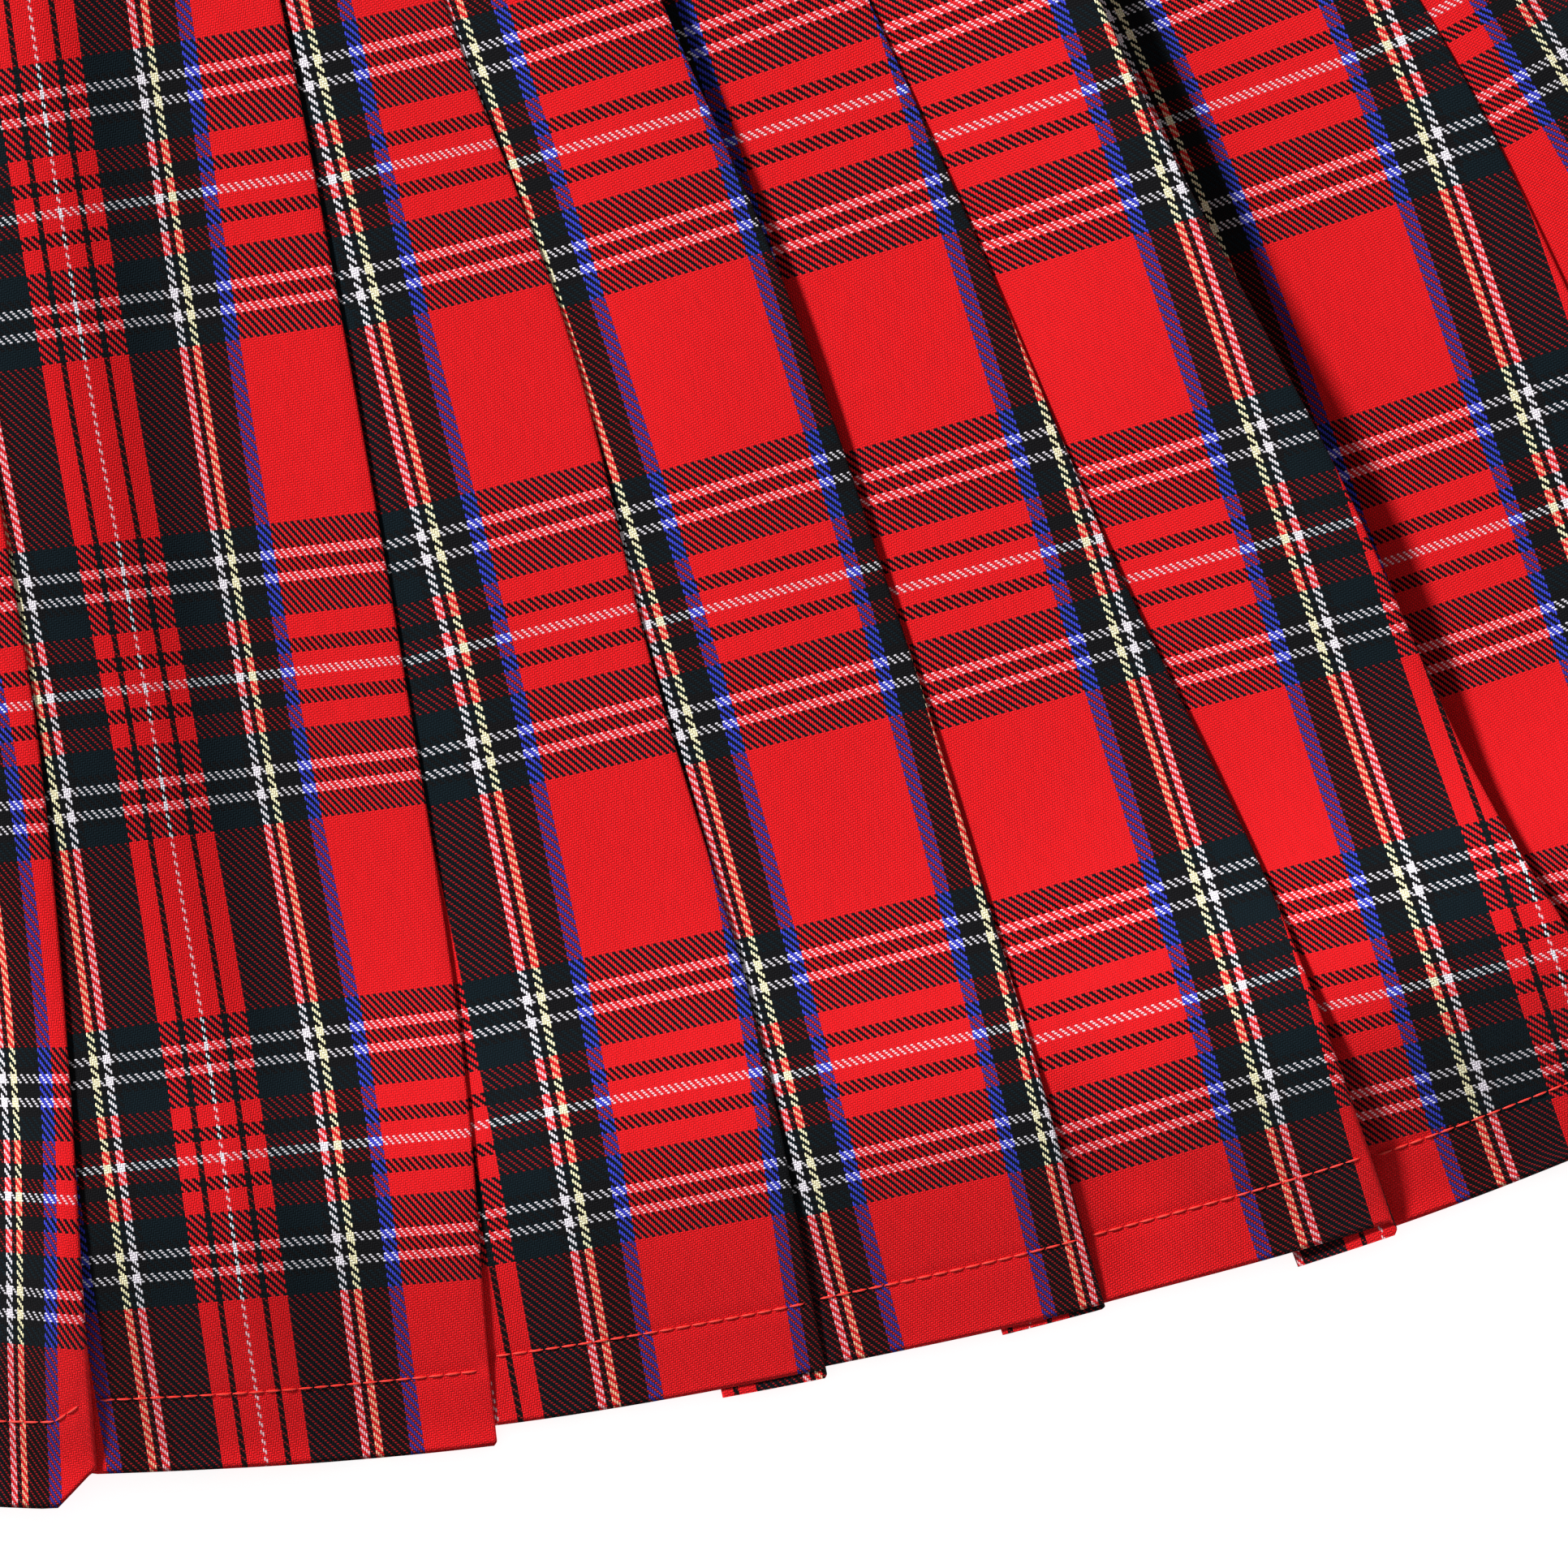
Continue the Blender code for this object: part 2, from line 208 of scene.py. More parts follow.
FRONT_PLEATS = (
    Pleat(straight(-32.2, -31.5), (0.0, 0.0020, 0.0030, 0.0025), 0.0014, 0.0000, 0.0010, 0.0015,
          straight(-31.0, -33.0), -BLUE_RIGHT, EVEN, (0.026, 0.026), (-1, -1, 0, 0)),
    Pleat(straight(-26.9, -26.0), (0.0, 0.0010, 0.0015, 0.0030), 0.0014, 0.0005, 0.0015, 0.0010,
          straight(-26.6, -28.4), -BLUE_RIGHT, EVEN, (0.037, 0.037), (0, 1, 1, 0)),
    Pleat(straight(-21.7, -20.4), (0.0, 0.0030, 0.0045, 0.0030), 0.0018, -0.0010, 0.0005, 0.0005,
          straight(-20.2, -21.45), -BLUE_LEFT, EVEN, (0.046, 0.045), (1, 0, -1, 0)),
    Pleat(straight(-16.4, -14.9), (0.0, 0.0015, 0.0020, 0.0020), 0.0014, -0.0010, 0.0010, 0.0010,
          straight(-16.0, -16.8), -BLUE_LEFT, EVEN, (0.052, 0.051), (1, 1, 0, 0)),
    Pleat(straight(-10.6, -9.2), (0.0, 0.0010, 0.0025, 0.0030), 0.0014, 0.0000, 0.0020, 0.0020,
          straight(-11.0, -10.0), WHITE_LINE, EVEN, (0.054, 0.055), (0, 0, 1, 1)),
    Pleat(straight(-4.8, -3.6), (0.0, 0.0020, 0.0020, 0.0025), 0.0016, 0.0010, 0.0040, 0.0030,
          straight(-6.5, -5.3), WHITE_LINE, EVEN, (0.055, 0.054), (1, 1, 1, 1)),
    Pleat((1.0, 0.8, 0.8, 1.05, 1.95, 2.32, 2.42), (0.0, -0.0008, -0.0011, -0.0011, -0.0010, -0.0005, 0.0012),
          0.0030, 0.0040, 0.0082, -0.0010, (-3.0, -2.2, -1.2, -0.1, 1.35, 1.91, 1.77), BLUE_LEFT,
          ((1.0, 1.0, 0.93, 0.85), (1.0, 1.0, 0.97, 0.93)),
          (0.0550, 0.0550, 0.0550, 0.0550, 0.0520, 0.0495, 0.0468), (2, 2, 3.5, 4), 0.0060),
    Pleat((6.9, 7.8, 8.5, 8.83, 8.96, 8.93, 8.52), (0.0, -0.0005, -0.0010, -0.0008), 0.0013,
          0.0020, 0.0028, 0.0010, (5.6, 5.85, 6.1, 6.43, 6.81, 7.27, 7.31), BLUE_LEFT,
          ((1.04, 1.05, 1.07, 1.045, 1.01, 1.08, 1.075), (1.05, 1.04, 0.87, 0.96)),
          (0.0556, 0.0556, 0.0557, 0.0562, 0.0558, 0.0550, 0.0537), (-1.5, -1.8, 3.8, 2.0)),
    Pleat((11.65, 11.85, 12.4, 13.5, 13.6, 13.9, 13.65), (0.0, -0.0010, -0.0008, -0.0005), 0.0012,
          -0.0008, -0.0012, 0.0005, (8.9, 9.45, 10.06, 10.58, 11.01, 11.13, 11.04), BLUE_LEFT,
          ((1.12, 1.13, 1.17, 1.15), (0.94, 0.89, 0.99, 0.93)),
          (0.0559, 0.0559, 0.0561, 0.0570, 0.0568, 0.0564, 0.0566), (1.6, 1.6, 0.4, -0.5)),
    Pleat((16.7, 17.05, 17.4, 18.2, 18.3, 18.2, 18.0), (0.0, 0.0030, 0.0060, 0.0030, 0.0, -0.0004, 0.0),
          0.0016, -0.0016, -0.0009, 0.0000, (11.85, 12.75, 13.68, 14.33, 14.71, 14.81, 14.79), BLUE_LEFT,
          ((1.035, 1.05, 1.07, 1.057), (1.015, 1.02, 1.005, 0.97)),
          (0.0541, 0.0541, 0.0541, 0.0543, 0.0553, 0.0549, 0.0552), (2.9, 3.6, 2.5, 2.4)),
    Pleat((21.8, 21.9, 22.05, 22.35, 22.45, 22.75, 22.55),
          (0.0, 0.0, -0.0005, -0.0008, -0.0004, 0.0006, 0.0050),
          0.0018, -0.0010, 0.0002, 0.0028, (24.3, 23.45, 22.61, 21.89, 21.35, 20.95, 20.54), BLUE_RIGHT,
          ((1.14, 1.16, 1.10, 1.11), (1.015, 1.0, 1.085, 1.125)),
          (0.0485, 0.0485, 0.0485, 0.0491, 0.0494, 0.0501, 0.0487), (0.3, -0.6, 3.2, -0.1)),
    Pleat((26.9, 27.0, 27.0, 26.75, 26.85, 26.65, 27.15),
          (0.0, 0.0050, 0.0120, 0.0150, 0.0125, 0.0055, 0.0040),
          0.0020, 0.0014, 0.0010, 0.0015, (28.1, 27.25, 26.40, 25.63, 24.85, 24.17, 23.64), BLUE_RIGHT,
          ((1.18, 1.17, 1.0, 1.0), (1.08, 1.085, 1.08, 1.17)),
          (0.0372, 0.0372, 0.0372, 0.0374, 0.0380, 0.0396, 0.0386), (3.2, 3.8, 4.4, 5.0)),
    Pleat((32.2, 32.45, 32.7, 32.85, 32.15, 31.7, 31.6), (0.0, -0.0010, -0.0005, 0.0020), 0.0014,
          0.0010, 0.0015, 0.0010, (34.8, 33.4, 31.99, 30.97, 29.7, 28.63, 27.55), BLUE_RIGHT,
          ((0.95, 0.975, 0.92, 0.85), (1.09, 1.10, 1.145, 0.99)),
          (0.0251, 0.0251, 0.0250, 0.0254, 0.0251, 0.0249, 0.0252), (4.8, 6.0, 1.9, 2.8)),
    Pleat(straight(37.8, 37.8), (0.0, 0.0), 0.0014, 0.0000, 0.0000, 0.0000,
          (35.1, 34.7, 34.3, 33.85, 33.4, 32.95, 32.5), BLUE_RIGHT, EVEN, (0.0255, 0.0255), (2, 2, 2, 2)),
)

# The back's folds, pressed flat and straight. Angles are counted as seen from below, from its left side, and
# the stripe's thread number is BLUE_LEFT.
BackPleat = namedtuple("BackPleat", "waist hem hem_drop stripe_waist stripe_hem weft_line")
BACK_PLEATS = [BackPleat(*row) for row in (
    (-32.3, -32.0, -0.0040, -33.6, -34.2, 0.031),
    (-26.9, -26.7, -0.0050, -28.6, -28.9, 0.038),
    (-21.5, -21.2, -0.0035, -23.5, -24.0, 0.044),
    (-16.1, -16.2, -0.0045, -18.1, -18.6, 0.049),
    (-10.8, -10.6, -0.0050, -13.0, -13.2, 0.053),
    (-5.4, -5.1, -0.0040, -7.6, -8.0, 0.055),
    (0.1, 0.3, -0.0035, -2.4, -2.6, 0.056),
    (5.4, 5.6, -0.0050, 3.0, 2.6, 0.055),
    (10.8, 10.7, -0.0040, 8.3, 7.6, 0.053),
    (16.2, 16.4, -0.0045, 13.4, 13.1, 0.050),
    (21.6, 21.5, -0.0040, 18.9, 18.2, 0.045),
    (27.0, 27.1, -0.0050, 24.3, 23.6, 0.038),
    (32.4, 32.3, -0.0040, 29.4, 28.9, 0.030),
    (37.8, 37.8, -0.0045, 34.9, 34.0, 0.026),
)]

# Steps of the mesh across one pleat and along the cloth
HIDDEN_STEPS = 4
FACE_STEPS = 24
BACK_FACE_STEPS = 12
ROLL_STEPS = 6
RETURN_STEPS = 6
TUCK_STEPS = 4
CLIMB_STEPS = 4
TURN_UP_STEPS = 4
LONG_ROWS = 84
HEM_ROW_STEP = 0.0010
HEM_FINE_ROWS = 17

# The line that a stripe is followed on: its places from above the waist to past the hem, and its points
STRIPE_REACH = (-0.03, 1.04)
STRIPE_POINTS = 260

Row = namedtuple("Row", "place from_hem")


def linear(hex_colour):
    """Linear RGBA from an sRGB hex value."""
    values = [int(hex_colour[k:k + 2], 16) / 255 for k in (1, 3, 5)]
    return (*[v / 12.92 if v <= 0.04045 else ((v + 0.055) / 1.055) ** 2.4 for v in values], 1.0)


def along(values, place):
    """A smooth curve through values set at even steps from waist (0) to hem (1)."""
    values = np.asarray(values, float)
    steps = len(values) - 1
    spot = np.clip(place, 0.0, 1.0) * steps
    k = np.minimum(spot.astype(int) if isinstance(spot, np.ndarray) else int(spot), steps - 1)
    f = spot - k
    before, start = values[np.maximum(k - 1, 0)], values[k]
    end, after = values[k + 1], values[np.minimum(k + 2, steps)]
    bend = 2 * before - 5 * start + 4 * end - after
    twist = 3 * start - before - 3 * end + after
    return 0.5 * (2 * start + (end - before) * f + bend * f ** 2 + twist * f ** 3)


def soft_step(value):
    value = np.clip(value, 0.0, 1.0)
    return value * value * (3 - 2 * value)


def waist_radius(angle):
    return WAIST_RADIUS + SIDE_RISE * (angle / SIDE_RISE_ANGLE) ** 2


def hem_radius(angle):
    return HEM_RADIUS + SIDE_RISE * (angle / SIDE_RISE_ANGLE) ** 2


def radius_at(angle, place, drop=0.0):
    """The radius of a point of cloth; a hem that hangs lower is pulled down only in its last stretch."""
    top = waist_radius(angle)
    return top + (hem_radius(angle) - top) * place + drop * np.clip(place, 0, 1) ** DROP_GROWTH


def plan_point(angle, radius):
    turn = np.radians(angle)
    return radius * np.sin(turn), FAN_POINT_Y - radius * np.cos(turn)


def to_arc(angle, place):
    return math.radians(angle) * radius_at(angle, place)


def from_arc(arc, place):
    """The angle whose arc at this section is the given length; a few turns settle it."""
    angle = np.degrees(arc / radius_at(0.0, place))
    for _ in range(8):
        angle = np.degrees(arc / radius_at(angle, place))
    return angle


def smooth_through(knots, values, at):
    """Heights on a soft curve through a few knots: it bends evenly at each and flattens towards the last."""
    knots, values = np.array(knots), np.array(values)
    secants = np.diff(values) / np.diff(knots)
    middle_slopes = (secants[1:] + secants[:-1]) / 2
    slopes = np.concatenate([[secants[0]], middle_slopes, [secants[-1] * SLOPE_KEPT_AT_FOLD]])
    k = np.clip(np.searchsorted(knots, at) - 1, 0, len(knots) - 2)
    span = knots[k + 1] - knots[k]
    f = np.clip((at - knots[k]) / span, 0, 1)
    return (values[k] * (1 + 2 * f) * (1 - f) ** 2 + slopes[k] * span * f * (1 - f) ** 2
            + values[k + 1] * f * f * (3 - 2 * f) + slopes[k + 1] * span * f * f * (f - 1))


def half_turn(arc, low, high, side, steps):
    """Points of a half round turn between two heights, bulging to one side; it starts at the first height."""
    turn = np.linspace(0, math.pi, steps + 1)
    radius = (high - low) / 2
    return arc + side * abs(radius) * np.sin(turn), low + radius * (1 - np.cos(turn))


class Strip:
    """One section of a panel's cloth, gathered piece by piece from its left side to its right."""

    def __init__(self):
        self.arcs, self.heights, self.drops, self.pleat, self.kind = [], [], [], [], []

    def add(self, arcs, heights, drops, pleat, kind):
        count = len(arcs)
        self.arcs.extend(arcs)
        self.heights.extend(heights)
        self.drops.extend(np.broadcast_to(drops, count))
        self.pleat.extend([pleat] * count)
        self.kind.extend([kind] * count)


def front_section(place):
    """The front cloth at one place: each face rises from under its neighbour to its fold, and turns under."""
    under = float(along(UNDERLAY, place))
    tip = LAYER_STEP / 2
    left = to_arc(-SIDE_ANGLE, place)
    right = to_arc(SIDE_ANGLE, place)
    strip = Strip()
    start, previous, start_drop = left, left, 0.0
    for k, pleat in enumerate(FRONT_PLEATS):
        last = k == len(FRONT_PLEATS) - 1
        edge = to_arc(float(along(pleat.fold, place)), place)
        lift = float(along(pleat.lifts, place))
        roll = LAYER_STEP + (pleat.roll - LAYER_STEP) * min(max(place, 0.0), 1.0) ** ROLL_GROWTH
        inner = edge - under
        low = FRONT_BASE + (STEP_UNDER_FOLD if k else 0.0)
        lap = FRONT_BASE + 2 * LAYER_STEP + lift / 2
        top = FRONT_BASE + FOLD_HEIGHT + lift
        if last:
            knots = (start, previous, (previous + right) / 2, right)
            heights = (FRONT_BASE, low, low, FRONT_BASE - STEP_UNDER_FOLD / 2)
            face_end = right
        else:
            knots = (start, previous, inner, edge - roll / 2) if k else (start, inner, edge - roll / 2)
            heights = (FRONT_BASE, low, lap, top) if k else (FRONT_BASE, lap, top)
            face_end = edge - roll / 2
        if k:
            arcs = np.linspace(start, previous, HIDDEN_STEPS, endpoint=False)
            drops = start_drop + (pleat.hem_start - start_drop) * (arcs - start) / (previous - start)
            strip.add(arcs, smooth_through(knots, heights, arcs), drops, k, "hidden")
        arcs = np.linspace(previous, face_end, FACE_STEPS + 1)
        share = (arcs - previous) / (face_end - previous)
        drops = pleat.hem_start + (pleat.hem_fold - pleat.hem_start) * soft_step(share)
        drops -= pleat.corner * np.clip(1 - (face_end - arcs) / HEM_CORNER_LENGTH, 0, 1)
        strip.add(arcs, smooth_through(knots, heights, arcs), drops, k, "face")
        if last:
            break
        arcs, heights = half_turn(edge - roll / 2, top, top - roll, 1.0, ROLL_STEPS)
        drops = np.linspace(pleat.hem_fold - pleat.corner, pleat.hem_under, ROLL_STEPS + 1)
        strip.add(arcs[1:], heights[1:], drops[1:], k, "roll")
        share = np.linspace(0, 1, RETURN_STEPS + 1)
        arcs = edge - roll / 2 + (inner + tip - edge + roll / 2) * share
        heights = top - roll + (FRONT_BASE + LAYER_STEP - top + roll) * soft_step(share)
        strip.add(arcs[1:], heights[1:], pleat.hem_under, k, "return")
        arcs, heights = half_turn(inner + tip, FRONT_BASE + LAYER_STEP, FRONT_BASE, -1.0, TUCK_STEPS)
        strip.add(arcs[1:-1], heights[1:-1], pleat.hem_under, k, "tuck")
        start, previous, start_drop = inner + tip, edge, pleat.hem_under
    return strip


def back_section(place):
    """The back cloth at one place, seen from below: faces flat on the surface, underlays stacked inside."""
    under = float(along(UNDERLAY, place))
    tip = LAYER_STEP / 2
    outer = BACK_FACE_HEIGHT
    middle, inside = outer + LAYER_STEP, outer + 2 * LAYER_STEP
    left = to_arc(-SIDE_ANGLE, place)
    right = to_arc(SIDE_ANGLE, place)
    seam = FRONT_BASE - STEP_UNDER_FOLD / 2 - SEAM_GAP
    strip = Strip()
    start, previous, start_drop = left, left, 0.0
    for k, pleat in enumerate(BACK_PLEATS):
        last = k == len(BACK_PLEATS) - 1
        edge = right if last else to_arc(pleat.waist + (pleat.hem - pleat.waist) * place, place)
        face_start = previous + (BACK_JOG if k else SIDE_CLIMB)
        face_end = edge - (SIDE_CLIMB if last else tip)
        if k:
            arcs = np.linspace(start, previous, HIDDEN_STEPS, endpoint=False)
            strip.add(arcs, np.full(HIDDEN_STEPS, inside), start_drop, k, "hidden")
        share = np.linspace(0, 1, CLIMB_STEPS, endpoint=False)
        entry = seam if k == 0 else inside
        strip.add(previous + (face_start - previous) * share, entry + (outer - entry) * soft_step(share),
                  start_drop, k, "face")
        arcs = np.linspace(face_start, face_end, BACK_FACE_STEPS + 1)
        strip.add(arcs, np.full(len(arcs), outer), pleat.hem_drop, k, "face")
        if last:
            share = np.linspace(0, 1, CLIMB_STEPS + 1)[1:]
            strip.add(face_end + (right - face_end) * share, outer + (seam - outer) * soft_step(share),
                      0.0, k, "face")
            break
        inner = edge - under
        arcs, heights = half_turn(edge - tip, outer, middle, 1.0, TUCK_STEPS)
        strip.add(arcs[1:], heights[1:], pleat.hem_drop, k, "roll")
        arcs = np.linspace(edge - tip, inner + tip, RETURN_STEPS + 1)
        strip.add(arcs[1:], np.full(RETURN_STEPS, middle), pleat.hem_drop, k, "return")
        arcs, heights = half_turn(inner + tip, middle, inside, -1.0, TUCK_STEPS)
        strip.add(arcs[1:-1], heights[1:-1], pleat.hem_drop, k, "tuck")
        start, previous, start_drop = inner + tip, edge, pleat.hem_drop
    return strip


def rows_of_cloth():
    """Rows from inside the waistband down to the hem's fold, each with its distance from the hem."""
    length = HEM_RADIUS - WAIST_RADIUS
    fine = HEM_ROW_STEP * (HEM_FINE_ROWS - 1)
    distances = list(np.linspace(length + TUCK_INTO_BAND, fine, LONG_ROWS))
    distances += [fine - HEM_ROW_STEP * k for k in range(1, HEM_FINE_ROWS)]
    return [Row(1 - d / length, d) for d in distances]


def turn_up_rows():
    """Rows round the hem's fold and up inside it: how far back from the hem, and how deep to the wrong side."""
    radius = TURN_UP_DEPTH / 2
    turn = np.linspace(0, math.pi, TURN_UP_STEPS + 1)[1:]
    rows = [(radius - radius * math.sin(t), radius * (1 - math.cos(t))) for t in turn]
    count = round(TURN_UP_HEIGHT / HEM_ROW_STEP)
    rows += [(HEM_ROW_STEP * k, TURN_UP_DEPTH) for k in range(1, count + 1)]
    return rows


def sheet_grid(section):
    """All sections of a panel as arrays of rows and columns, with each column's pleat and kind of cloth."""
    rows = rows_of_cloth()
    strips = [section(row.place) for row in rows]
    arcs = np.array([s.arcs for s in strips])
    heights = np.array([s.heights for s in strips])
    drops = np.array([s.drops for s in strips])
    places = np.array([row.place for row in rows])[:, None] + np.zeros_like(arcs)
    from_hem = np.array([row.from_hem for row in rows])[:, None] + np.zeros_like(arcs)
    return arcs, heights, drops, places, from_hem, np.array(strips[0].pleat), np.array(strips[0].kind)


def way_along(points):
    """The length walked along a line of points, up to each of them."""
    steps = np.linalg.norm(np.diff(points, axis=0), axis=1)
    return np.concatenate([[0], np.cumsum(steps)])


def stripe_line(angles):
    """Points of a stripe from above the waist to past the hem, with the length along it to the even hem line."""
    places = np.linspace(*STRIPE_REACH, STRIPE_POINTS)
    angle = along(angles, np.clip(places, 0, 1))
    x, y = plan_point(angle, radius_at(angle, places))
    length = way_along(np.stack([x, y], -1))
    return x, y, np.interp(1.0, places, length) - length, places


def threads_on_face(x, y, stripe, stripe_end, spread, weft_line, skew):
    """End and pick numbers at points of a face, from the nearest point of its stripe."""
    line_x, line_y, height, places = stripe_line(stripe)
    tangent_x, tangent_y = np.gradient(line_x), np.gradient(line_y)
    size = np.hypot(tangent_x, tangent_y)
    tangent_x, tangent_y = tangent_x / size, tangent_y / size
    near = np.empty(x.shape, int)
    for row in range(x.shape[0]):
        gaps = (x[row][:, None] - line_x) ** 2 + (y[row][:, None] - line_y) ** 2
        near[row] = gaps.argmin(1)
    dx, dy = x - line_x[near], y - line_y[near]
    ahead = dx * tangent_x[near] + dy * tangent_y[near]
    across = -dx * tangent_y[near] + dy * tangent_x[near]
    place = np.clip(places[near], 0, 1)
    left, right = spread
    ends = stripe_end + across / (END_PITCH * np.where(across < 0, along(left, place), along(right, place)))
    rise = height[near] - ahead + across * np.tan(np.radians(along(skew, place))) - along(weft_line, place)
    picks = rise / (PICK_PITCH * (1 + PICK_SPREAD * rise))
    return ends, picks


def threads_of_panel(arcs, heights, x, y, pleat_of, kind, stripes):
    """Thread numbers over the sheet: set by the stripes on the faces, evened out through the hidden cloth."""
    ends, picks = np.zeros_like(arcs), np.zeros_like(arcs)
    walked = np.concatenate([np.zeros((len(arcs), 1)),
                             np.cumsum(np.hypot(np.diff(arcs, axis=1), np.diff(heights, axis=1)), 1)], 1)
    offset = 0
    last_column = None
    for k, stripe in enumerate(stripes):
        seen = np.flatnonzero((pleat_of == k) & (kind == "face"))
        face_ends, face_picks = threads_on_face(x[:, seen], y[:, seen], *stripe)
        if last_column is not None:
            wanted = (walked[-1, seen[0]] - walked[-1, last_column]) / END_PITCH
            gap = face_ends[-1, 0] + offset - ends[-1, last_column]
            offset += 2 * WARP_HALF * round((wanted - gap) / (2 * WARP_HALF))
        ends[:, seen] = face_ends + offset
        picks[:, seen] = face_picks
        if last_column is not None:
            turned = np.flatnonzero((pleat_of == k - 1) & ((kind == "roll") | (kind == "return")))
            past_face = walked[:, turned] - walked[:, [last_column]]
            ends[:, turned] = ends[:, [last_column]] + past_face / END_PITCH
            picks[:, turned] = picks[:, [last_column]]
            from_column, to_column = turned[-1], seen[0]
            between = np.arange(from_column + 1, to_column)
            total = walked[:, to_column] - walked[:, from_column]
            share = (walked[:, between] - walked[:, [from_column]]) / total[:, None]
            for values in (ends, picks):
                start, end = values[:, [from_column]], values[:, [to_column]]
                values[:, between] = start + (end - start) * share
        last_column = seen[-1]
    return ends, picks


def settle_at_hem(heights, above_hem):
    """Towards the even hem line all layers sink together onto the surface, so the cloth bows down."""
    share = np.clip(1 - above_hem / HEM_BOW_LENGTH, 0, None)
    eased = BOW_EASE + (1 - BOW_EASE) * np.tanh((share - BOW_EASE) / (1 - BOW_EASE))
    return heights * (1 - HEM_BOW * np.where(share < BOW_EASE, share, eased) ** 2)


def front_swells(angles, radii):
    """Broad soft humps of the front, all its layers together: one along the hem, and those of the list."""
    above_hem = hem_radius(angles) - radii
    height = HEM_SWELL * np.exp(-((above_hem - SWELL_MIDDLE) / SWELL_WIDTH) ** 2)
    place = 1 - above_hem / (HEM_RADIUS - WAIST_RADIUS)
    for swell in FRONT_SWELLS:
        crest = swell.crest[0] + (swell.crest[1] - swell.crest[0]) * place
        off = np.abs(np.radians(angles - crest) * radii / swell.width)
        run = (place - swell.place) / swell.length
        height += swell.height * np.exp(-off ** swell.power - run ** 2)
    from_side = (SIDE_ANGLE - np.abs(angles)) / SWELL_FADE_ANGLE
    return height * soft_step(from_side) * soft_step(place / SWELL_START)


def stitch_groove(from_hem):
    """The hem's stitching pulls a small groove into the cloth."""
    return -STITCH_DENT * np.exp(-((from_hem - HEM_STITCH_HEIGHT) / STITCH_DENT_WIDTH) ** 2)


def into_band(heights, places):
    """Near the waist all layers close up, so that their ends lie inside the waistband."""
    length = HEM_RADIUS - WAIST_RADIUS
    close = 1 - soft_step(places * length / TUCK_SLOPE)
    top = FRONT_BASE + FOLD_HEIGHT
    pressed = TUCK_LOW + (TUCK_HIGH - TUCK_LOW) * np.clip(heights / top, 0, TUCK_LIMIT)
    return heights + (pressed - heights) * close


def between_rows(values, row):
    low = min(int(row), len(values) - 2)
    return values[low] + (values[low + 1] - values[low]) * (row - low)


def panel_sheet(name, section, stripes, relief, mirror, material):
    """A whole panel: its cloth with the hem turned up, threads counted, relief laid on."""
    arcs, heights, drops, places, from_hem, pleat_of, kind = sheet_grid(section)
    heights = heights + relief(arcs, places, pleat_of, kind)
    angles = from_arc(arcs, places)
    radii = radius_at(angles, places, drops)
    x, y = plan_point(angles, radii)
    ends, picks = threads_of_panel(arcs, heights, x, y, pleat_of, kind, stripes)
    facing = np.gradient(arcs, axis=1)
    climbing = np.gradient(heights, axis=1)
    size = np.hypot(facing, climbing)
    wrong_arc, wrong_height = climbing / size, -facing / size
    grooved = mirror * stitch_groove(from_hem) * np.where(kind == "face", 1.0, 0.0)
    heights = into_band(heights + grooved, places)
    if mirror > 0:
        heights = heights + front_swells(angles, radii)
    heights = settle_at_hem(heights, hem_radius(angles) - radii)
    grid = [np.stack([mirror * x, y, heights], -1)]
    threads = [np.stack([ends, picks], -1)]
    row_numbers = np.arange(len(arcs))
    for back, depth in turn_up_rows():
        row = np.interp(back, from_hem[::-1, 0], row_numbers[::-1])
        at_row = [between_rows(values, row) for values in (arcs, heights, wrong_arc, wrong_height, places)]
        arc, height, side, lift, place = at_row
        angle = from_arc(arc + side * depth, place)
        tx, ty = plan_point(angle, radius_at(angle, place, drops[-1]))
        grid.append(np.stack([mirror * tx, ty, height + lift * depth], -1)[None])
        threads.append(np.stack([ends[-1], picks[-1] - (back + depth) / PICK_PITCH], -1)[None])
    grid = np.concatenate(grid)
    made = sheet_object(name, grid, np.concatenate(threads), mirror, material)
    return made, grid, from_hem[:, 0], pleat_of, kind


def sheet_object(name, grid, threads, mirror, material):
    """A mesh of quads from a grid of points, whose thread numbers are the map that the tartan reads."""
    rows, columns = grid.shape[:2]
    index = np.arange(rows * columns).reshape(rows, columns)
    corners = [index[:-1, :-1], index[1:, :-1], index[1:, 1:], index[:-1, 1:]]
    if mirror < 0:
        corners = corners[::-1]
    quads = np.stack(corners, -1).reshape(-1, 4)
    return mesh_object(name, grid.reshape(-1, 3), quads, material, threads.reshape(-1, 2))


def add_object(name, data):
    """An object in the scene, from its mesh, lamp or camera data."""
    made = bpy.data.objects.new(name, data)
    bpy.context.scene.collection.objects.link(made)
    return made


def mesh_object(name, points, faces, material, threads=None):
    """An object from arrays of points and of faces with equal numbers of corners."""
    data = bpy.data.meshes.new(name)
    corners = faces.shape[1]
    data.vertices.add(len(points))
    data.vertices.foreach_set("co", np.asarray(points, np.float32).ravel())
    data.loops.add(faces.size)
    data.loops.foreach_set("vertex_index", faces.astype(np.int32).ravel())
    data.polygons.add(len(faces))
    data.polygons.foreach_set("loop_start", np.arange(0, faces.size, corners, dtype=np.int32))
    data.polygons.foreach_set("use_smooth", np.ones(len(faces), bool))
    data.update(calc_edges=True)
    data.validate()
    if threads is not None:
        layer = data.uv_layers.new(name="thread_count")
        layer.data.foreach_set("uv", threads[faces.ravel()].astype(np.float32).ravel())
    data.materials.append(material)
    return add_object(name, data)


